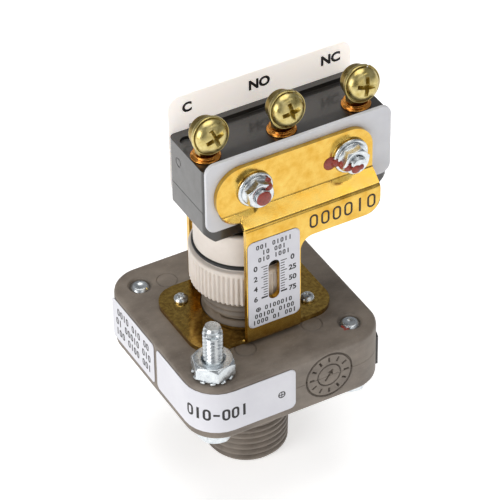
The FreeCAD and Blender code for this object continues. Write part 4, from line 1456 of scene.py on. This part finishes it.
@dataclass
class WireTerminal:
    """One screw terminal: bronze eyelet, tapped brass tab, cup washer and cross-recessed screw.

    Attributes:
        name: Which terminal it is, as the frame names it.
        x: Its place along the switch.
        recess_turn: How far its screw's cross is turned, in degrees.
        washer_gap: Where the washer's rim is split, in degrees, or None.
    """

    bench: Bench
    name: str
    x: float
    recess_turn: float
    washer_gap: Optional[float] = None
    y: float = -2.6
    face_y: float = -3.96
    height: float = 100.36
    tilt: float = 12.0
    top: float = 93.22

    def axis(self) -> Vector:
        """Return the direction that the screw comes out."""
        return Vector((0, -math.cos(math.radians(self.tilt)), math.sin(math.radians(self.tilt))))

    def on_screw(self, blank: Blank) -> Blank:
        """Point a shape along the screw, with its origin on the tab's face."""
        return blank.faced(self.axis(), (self.x, self.face_y, self.height))

    def make_post(self) -> None:
        """Make the tab, its web and the neck that comes up through the cover."""
        disc = Blank.turned([(1.79, -2.6), (3.5, -2.6), (3.85, -2.3), (3.9, -1.9), (3.9, -0.4), (3.6, 0.0),
                             (1.79, 0.0)],
                            48, closed=True)
        web = Blank.block((-2.8, -5.0, -2.5), (2.8, -2.2, -0.1))
        turn = math.degrees(math.atan2(self.axis().z, -self.axis().y))
        web.spun(90 - turn, (1, 0, 0)).moved((self.x, self.face_y, self.height))
        neck = Blank.block((self.x - 2.2, self.y - 1.2, self.top), (self.x + 2.2, self.y + 1.2, 97.0))
        self.bench.finish(self.on_screw(disc).joined(web, neck), f"terminal_post_{self.name}", STRIP_BRASS,
                          [f"terminal_{self.name}"], "terminal_brass", edge=0.25)

    def make_eyelet(self) -> None:
        """Turn the flared eyelet that holds the tab to the cover."""
        z = self.top
        ring = Blank.turned([(0, z), (3.45, z), (3.6, z + 0.15), (3.6, z + 0.35), (3.4, z + 0.5),
                             (2.95, z + 0.62),
                             (2.75, z + 0.8), (2.8, z + 1.0), (3.1, z + 1.2), (2.9, z + 1.35), (0, z + 1.35)],
                             48)
        self.bench.finish(ring.moved((self.x, self.y, 0)), f"terminal_eyelet_{self.name}", EYELET_BRONZE,
                          slot="terminal_brass")

    def make_washer(self) -> None:
        """Turn the cup washer whose rim keeps the wire in."""
        cup = Blank.turned([(1.79, 0.5), (4.3, 0.5), (4.62, 0.6), (4.73, 0.85), (4.7, 1.4), (4.62, 1.68),
                            (4.45, 1.7), (4.36, 1.3), (1.79, 1.3)], 64, closed=True)
        if self.washer_gap is not None:
            cup.carved(Blank.block((1.5, -0.35, 0.0), (6.0, 0.35, 3.0)).spun(self.washer_gap))
        self.bench.finish(self.on_screw(cup), f"cup_washer_{self.name}", SCREW_BRASS,
                          [f"clamp_washer_{self.name}"], "terminal_brass", f"clamp_washer_{self.name}",
                          edge=0.08)

    def make_screw(self) -> None:
        """Turn the domed screw and press the cross into its head."""
        head = Blank.turned([(0, 3.85), (1.2, 3.8), (2.2, 3.6), (3.1, 3.2), (3.7, 2.7), (4.08, 2.05),
                             (4.2, 1.6),
                             (4.1, 1.37), (0, 1.37)], 56)
        floor, mouth, reach, half = 2.1, 4.4, 3.3, 0.68
        cross = Blank.block((-reach, -half, floor), (reach, half, mouth))
        cross.joined(Blank.block((-half, -reach, floor), (half, reach, mouth)))

        def drafted(at: Vector) -> Vector:
            """Draw a point of the cross in towards its floor."""
            share = 0.3 + 0.7 * (at.z - floor) / (mouth - floor)
            return Vector((at.x * share, at.y * share, at.z))

        head.carved(cross.shaped(drafted).spun(self.recess_turn))
        shank = Blank.threaded(1.72, 1.36, INCH / 32, -5.25, 1.6, steps=24)
        self.bench.finish(self.on_screw(head.joined(shank)), f"domed_screw_{self.name}", SCREW_BRASS,
                          [f"terminal_screw_{self.name}"], "terminal_brass", f"terminal_screw_{self.name}",
                          edge=0.1)

    def make(self) -> None:
        """Make the terminal's pieces."""
        self.make_post()
        self.make_eyelet()
        self.make_washer()
        self.make_screw()


@dataclass
class SwitchMounting:
    """Insulating and marking sheets, their bolts, washers and nuts, and the seal lacquer."""

    bench: Bench
    bolt_x: tuple[float, float] = (-2.7, 22.7)
    height: float = 86.2
    bolt_back: float = 10.95
    bolt_length: float = 26.45
    bolt_radius: float = 1.73
    pitch: float = INCH / 32
    washer_front: float = -10.92
    nut_front: float = -11.84
    hole: float = 1.85
    sheet_wall: float = 0.9
    insulator: tuple[Corner, ...] = ((-14.6, 76.2, -9.62), (34.6, 95.6, 2.5))
    marking: tuple[Corner, ...] = ((-14.4, 76.0, 8.72), (34.4, 103.0, 3.0))

    def upright_sheet(self, low: Corner, high: Corner) -> Blank:
        """Cut a sheet with rounded corners that stands facing the front.

        Args:
            low: Its lower left corner as x and z, and the y of its face.
            high: Its upper right corner as x and z, and the radius of its corners.

        Returns:
            The sheet, without thickness.
        """
        (x0, z0, face), (x1, z1, radius) = low, high
        blank = Blank.sheet([(x0, z0, radius), (x1, z0, radius), (x1, z1, radius), (x0, z1, radius)],
                            rounds=[(x, self.height, self.hole) for x in self.bolt_x])
        return blank.shaped(lambda at: Vector((at.x, face, at.y)))

    def make_sheets(self) -> None:
        """Make the insulator, the marking sheet and its terminal letters."""
        self.bench.finish(self.upright_sheet(*self.insulator), "front_insulating_sheet",
                          VINYL_SHEET, ["front_insulator"], "white_sheet", edge=0.3, wall=self.sheet_wall)
        self.bench.finish(self.upright_sheet(*self.marking), "rear_marking_sheet",
                          MARKING_SHEET, ["rear_marking_plate"], "marking_sheet", edge=0.2,
                          wall=self.sheet_wall)
        letters = Blank()
        for text, x in (("C", -9.4), ("NO", 9.7), ("NC", 28.9)):
            letters.joined(lettering(text, 2.5, 0.17).faced(Facing.FRONT.value, (x, 8.70, 99.2)))
        self.bench.finish(letters, "terminal_letters", PRINT, wall=0.015)

    def make_bolts(self) -> None:
        """Make the two bolts, their washers and their flanged nuts."""
        bolts, washers, nuts = Blank(), Blank(), Blank()
        for x, turn in zip(self.bolt_x, (8.0, 38.0)):
            bolt = Blank.threaded(self.bolt_radius, self.bolt_radius - 0.33, self.pitch, 18.0,
                                  self.bolt_length, 32)
            bolt.joined(Blank.turned([(0, -0.5), (self.bolt_radius, -0.5), (self.bolt_radius, 18.2),
                                      (0, 18.2)], 32))
            head = Blank.turned([(0, -2.2), (1.6, -2.1), (2.7, -1.6), (3.3, -0.8), (3.4, -0.2), (3.3, 0),
                                 (0, 0)], 48)
            head.carved(Blank.block((-4, -0.4, -3.0), (4, 0.4, -1.2)).spun(turn))
            bolts.joined(bolt.joined(head).faced(Facing.FRONT.value, (x, self.bolt_back, self.height)))
            washer = Blank.turned([(1.85, 0), (4.4, 0), (4.6, 0.2), (4.6, 0.6), (4.35, 0.85), (1.85, 0.9)],
                                  64,
                                  closed=True)
            washers.joined(washer.faced(Facing.FRONT.value, (x, self.washer_front, self.height)))
            nut = Blank.hexagon(6.35, 0.4, 2.6, top=0.5)
            flange = Blank.turned([(1.85, 0), (3.9, 0), (3.9, 0.3), (3.5, 0.62), (3.0, 0.8), (1.85, 0.8)], 48,
                                  closed=True)
            hole = Blank.turned([(0, -1), (1.85, -1), (1.85, 2.35), (2.2, 2.61), (2.2, 4), (0, 4)], 32)
            nuts.joined(nut.carved(hole).joined(flange).spun(turn).faced(
                Facing.FRONT.value, (x, self.nut_front, self.height)))
        for blank, name, node in ((bolts, "through_bolts", "switch_bolts"),
                                  (washers, "flat_washers", "bolt_washers"),
                                  (nuts, "flanged_nuts", "switch_nuts")):
            self.bench.finish(blank, name, BRIGHT_ZINC, [node], "zinc_steel", edge=0.1)

    def dab(self, at: Sequence[float], size: Sequence[float]) -> Blank:
        """Make one rounded dab of lacquer.

        Args:
            at: Its centre.
            size: Its half widths.

        Returns:
            The dab.
        """
        drop = Blank()
        bmesh.ops.create_icosphere(drop.bm, subdivisions=4, radius=1.0)
        return drop.scaled(*size).moved(at)

    def make_lacquer(self) -> None:
        """Dab the seal lacquer over the nuts and at one clamp screw."""
        left, right = self.bolt_x
        end = self.bolt_back - self.bolt_length
        dabs = Blank().joined(
            self.dab((left, end + 0.05, self.height), (1.95, 0.45, 1.95)),
            self.dab((left + 1.9, -14.0, self.height + 1.7), (1.1, 0.7, 1.0)),
            self.dab((left + 2.6, -12.4, self.height + 2.2), (0.9, 0.8, 0.8)),
            self.dab((right - 5.3, -10.95, self.height - 0.6), (1.75, 0.45, 1.8)),
            self.dab((right - 4.0, -11.7, self.height - 0.3), (1.3, 0.6, 1.1)),
            self.dab((right - 3.0, -12.8, self.height - 0.5), (1.1, 1.1, 1.0)),
            self.dab((right - 2.2, -14.2, self.height - 0.8), (1.2, 0.6, 1.0)),
            self.dab((right - 0.9, end + 0.1, self.height - 0.9), (1.25, 0.5, 1.15)),
            self.dab((right + 0.5, end + 0.1, self.height - 0.7), (0.7, 0.45, 0.8)),
            self.dab((16.35, -20.7, 42.7), (0.95, 0.4, 0.35)),
            self.dab((16.1, -19.6, 42.7), (0.4, 0.9, 0.35)))
        piece = self.bench.finish(dabs, "seal_lacquer", SEAL_LACQUER)
        blend = piece.modifiers.new("flow", "REMESH")
        blend.mode, blend.voxel_size, blend.use_smooth_shade = "VOXEL", 0.15 * MM, True

    def make(self) -> None:
        """Make the sheets, the fasteners and the lacquer."""
        self.make_sheets()
        self.make_bolts()
        self.make_lacquer()


@dataclass
class Labels:
    """Stuck-on labels, with plain bars, ticks and numerals for their print."""

    bench: Bench
    low: float = 29.5
    high: float = 41.5
    half: float = 25.52
    paper: float = 0.14
    proud: float = 0.012
    scale_face: float = -14.95
    scale_half: float = 6.95
    scale: tuple[float, float] = (48.3, 73.9)
    window: tuple[float, float] = (55.2, 66.7)
    window_half: float = 1.5
    marks: tuple[float, float] = (56.6, 65.8)
    ticks: int = 12

    def wrap(self, proud: float) -> BentPath:
        """Return the line round the body's front left corner, a little proud of its faces."""
        face, radius = self.half + proud, 8.52 + proud
        return BentPath(((-face, -3.0, 0), (-face, -face, radius), (-0.4, -face, 0)))

    def make_front(self) -> None:
        """Wrap the label round the corner and print a plain bar code on it."""
        path = self.wrap(self.paper)
        ends = (path.stations()[0][0], path.stations()[-1][0])
        label = Blank.sheet([(self.low, ends[0], 1.2), (self.high, ends[0], 1.2), (self.high, ends[1], 1.5),
                             (self.low, ends[1], 1.5)])
        label.bent(path, lambda height, u, v: (u, v, height))
        self.bench.finish(label, "wrapped_label", LABEL_STOCK, ["front_label"], "label_paper",
                          wall=self.paper - 0.02)
        print_path = self.wrap(self.paper + self.proud)
        code = figures("0I0-00I", 3.5, 0.62, 2.35).moved((23.2, 34.9, 0))
        code.joined(figure("+", 2.0, 0.3).moved((40.4, 34.9, 0)))
        code.shaped(lambda at: Vector((at.y, at.x, 0)))
        bmesh.ops.reverse_faces(code.bm, faces=code.bm.faces)
        code.bent(print_path, lambda height, u, v: (u, v, height))
        self.bench.finish(code, "wrapped_label_print", PRINT)

    def make_side(self) -> None:
        """Stick the side label on and print three rows of plain dashes."""
        face = -self.half - self.paper
        label = Blank.sheet([(self.low, -1.6, 1.0), (self.high, -1.6, 1.0), (self.high, 19.8, 1.0),
                             (self.low, 19.8, 1.0)])
        label.shaped(lambda at: Vector((face, at.y, at.x)))
        self.bench.finish(label, "side_label_sheet", LABEL_STOCK, ["side_label"], "label_paper",
                          wall=self.paper - 0.02)
        rows = Blank()
        for height, row in ((38.6, "00I0 0I0 00"), (35.5, "0I 000I0 0I0"), (32.4, "I00 0I00 00I")):
            rows.joined(figures(row, 2.1, 0.42, 1.5).moved((-9.1, height, 0)))
        rows.shaped(lambda at: Vector((face - self.proud, -at.x, at.y)))
        self.bench.finish(rows, "side_label_print", PRINT)

    def make_scale(self) -> None:
        """Stick the scale label over the window and print its ticks and numerals."""
        face, half, (bottom, top) = self.scale_face, self.scale_half, self.scale
        w, r, (sill, head) = self.window_half, self.window_half - 0.01, self.window
        label = Blank.sheet([(-half, bottom, 1.5), (half, bottom, 1.5), (half, top, 1.5), (-half, top, 1.5)],
                            [[(-w, sill, r), (w, sill, r), (w, head, r), (-w, head, r)]])
        label.shaped(lambda at: Vector((at.x, face, at.y)))
        self.bench.finish(label, "scale_label_sheet", LABEL_STOCK, ["scale_label"],
                          "label_paper", wall=0.12)
        marks = Blank()
        low, high = self.marks
        for tick in range(self.ticks + 1):
            z = low + (high - low) * tick / self.ticks
            long = 1.7 if tick % 4 == 0 else 1.1
            thick = 0.5 if tick == 0 else 0.24
            for side in (-1, 1):
                marks.joined(bar(side * (1.75 + long / 2), z, long, thick))
        for side, numbers in ((-1, ("6", "4", "2", "0")), (1, ("75", "50", "25", "0"))):
            for step, text in enumerate(numbers):
                z = low + (high - low) * step / 3
                marks.joined(lettering(text, 1.45, 0.07).moved((side * 4.95, z, 0)))
        for z, row in ((72.0, "00I 0I0II"), (70.1, "I0 00I"), (68.2, "0I0 I00I"), (53.4, "+ 0I000I0"),
                       (51.5, "00I00 0I00"), (49.7, "I000 0I 00I")):
            marks.joined(figures(row, 1.35, 0.27, 1.08).moved((0, z, 0)))
        marks.shaped(lambda at: Vector((at.x, face - self.proud, at.y)))
        self.bench.finish(marks, "scale_label_print", PRINT)

    def make(self) -> None:
        """Make the three labels and their print."""
        self.make_front()
        self.make_side()
        self.make_scale()


# ---------------------------------------------------------------- studio

@dataclass
class Studio:
    """Pale floor, soft lights and the camera."""

    camera_at: Corner = (-277.74, -511.17, 527.70)
    camera_back: tuple[float, float] = (-28.52, 39.24)
    roll: float = -0.96
    lens: float = 226.2
    shift: tuple[float, float] = (0.0126, 0.0438)
    sky: float = 0.27
    floor_glow: float = 0.5

    def make_floor(self) -> None:
        """Lay the plain floor."""
        floor_shape = Blank()
        bmesh.ops.create_grid(floor_shape.bm, x_segments=1, y_segments=1, size=3.0)
        floor = bpy.data.objects.new("floor", floor_shape.mesh("floor"))
        bpy.context.scene.collection.objects.link(floor)
        paper = Finish("matt_white_paper", "#fdfdfd", "#fbfbfb", 40.0, (0.85, 0.95), 1.0, 0.001).material()
        lit = paper.node_tree.nodes["Principled BSDF"].inputs
        lit["Emission Color"].default_value = linear("#ffffff")
        lit["Emission Strength"].default_value = self.floor_glow
        floor.data.materials.append(paper)

    def make_light(self, name: str, at: Corner, size: tuple[float, float], power: float, tint: str) -> None:
        """Hang one soft light that faces the object.

        Args:
            name: The light's name.
            at: Its place, in metres.
            size: Its width and height, in metres.
            power: Its power, in watts.
            tint: Its colour as "#rrggbb".
        """
        data = bpy.data.lights.new(name, "AREA")
        data.shape, data.size, data.size_y, data.energy = "RECTANGLE", size[0], size[1], power
        data.color = linear(tint)[:3]
        light = bpy.data.objects.new(name, data)
        bpy.context.scene.collection.objects.link(light)
        light.location = at
        light.rotation_euler = (Vector((0, 0, 0.06)) - Vector(at)).to_track_quat("-Z", "Y").to_euler()

    def make_camera(self) -> None:
        """Set the camera."""
        azimuth, elevation = (math.radians(angle) for angle in self.camera_back)
        back = Vector((math.sin(azimuth) * math.cos(elevation), -math.cos(azimuth) * math.cos(elevation),
                       math.sin(elevation)))
        data = bpy.data.cameras.new("camera")
        data.lens, data.sensor_width = self.lens, 36.0
        data.shift_x, data.shift_y = self.shift
        data.clip_start, data.clip_end = 0.05, 20.0
        camera = bpy.data.objects.new("camera", data)
        bpy.context.scene.collection.objects.link(camera)
        roll = Matrix.Rotation(math.radians(self.roll), 4, "Z")
        turn = (-back).to_track_quat("-Z", "Y").to_matrix().to_4x4() @ roll
        camera.matrix_world = Matrix.Translation(Vector(self.camera_at) * MM) @ turn
        bpy.context.scene.camera = camera

    def make(self) -> None:
        """Set up the floor, sky, lights and camera."""
        self.make_floor()
        world = bpy.data.worlds.new("studio")
        world.use_nodes = True
        world.node_tree.nodes["Background"].inputs["Color"].default_value = linear("#f4f6fa")
        world.node_tree.nodes["Background"].inputs["Strength"].default_value = self.sky
        bpy.context.scene.world = world
        self.make_light("overhead", (0.05, 0.1, 0.75), (0.6, 0.6), 2.4, "#fffdfa")
        self.make_light("high_strip", (0.2, -0.55, 0.7), (0.9, 0.1), 0.6, "#fffdfa")
        self.make_light("left_window", (-0.75, -0.15, 0.35), (0.5, 0.5), 2.9, "#fffdfb")
        self.make_light("front_fill", (0.1, -0.8, 0.3), (0.5, 0.3), 0.45, "#fffaf4")
        bpy.context.scene.view_settings.view_transform = "Standard"
        self.make_camera()


def main() -> None:
    """Build every sub-assembly in order."""
    logging.basicConfig(level=logging.INFO, format="%(name)s: %(message)s")
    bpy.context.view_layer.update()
    bench = Bench()
    MouldedBody(bench).make()
    ClampScrews(bench).make()
    Bracket(bench).make()
    RangeAdjuster(bench).make()
    SnapSwitch(bench).make()
    for name, x, turn, gap in (("common", -10.8, 20.0, None), ("normally_open", 9.2, 8.0, 55.0),
                               ("normally_closed", 29.2, -12.0, 60.0)):
        WireTerminal(bench, name, x, turn, gap).make()
    SwitchMounting(bench).make()
    Labels(bench).make()
    Studio().make()
    log.info("%d pieces made", bench.made)


if __name__ == "__main__":
    main()
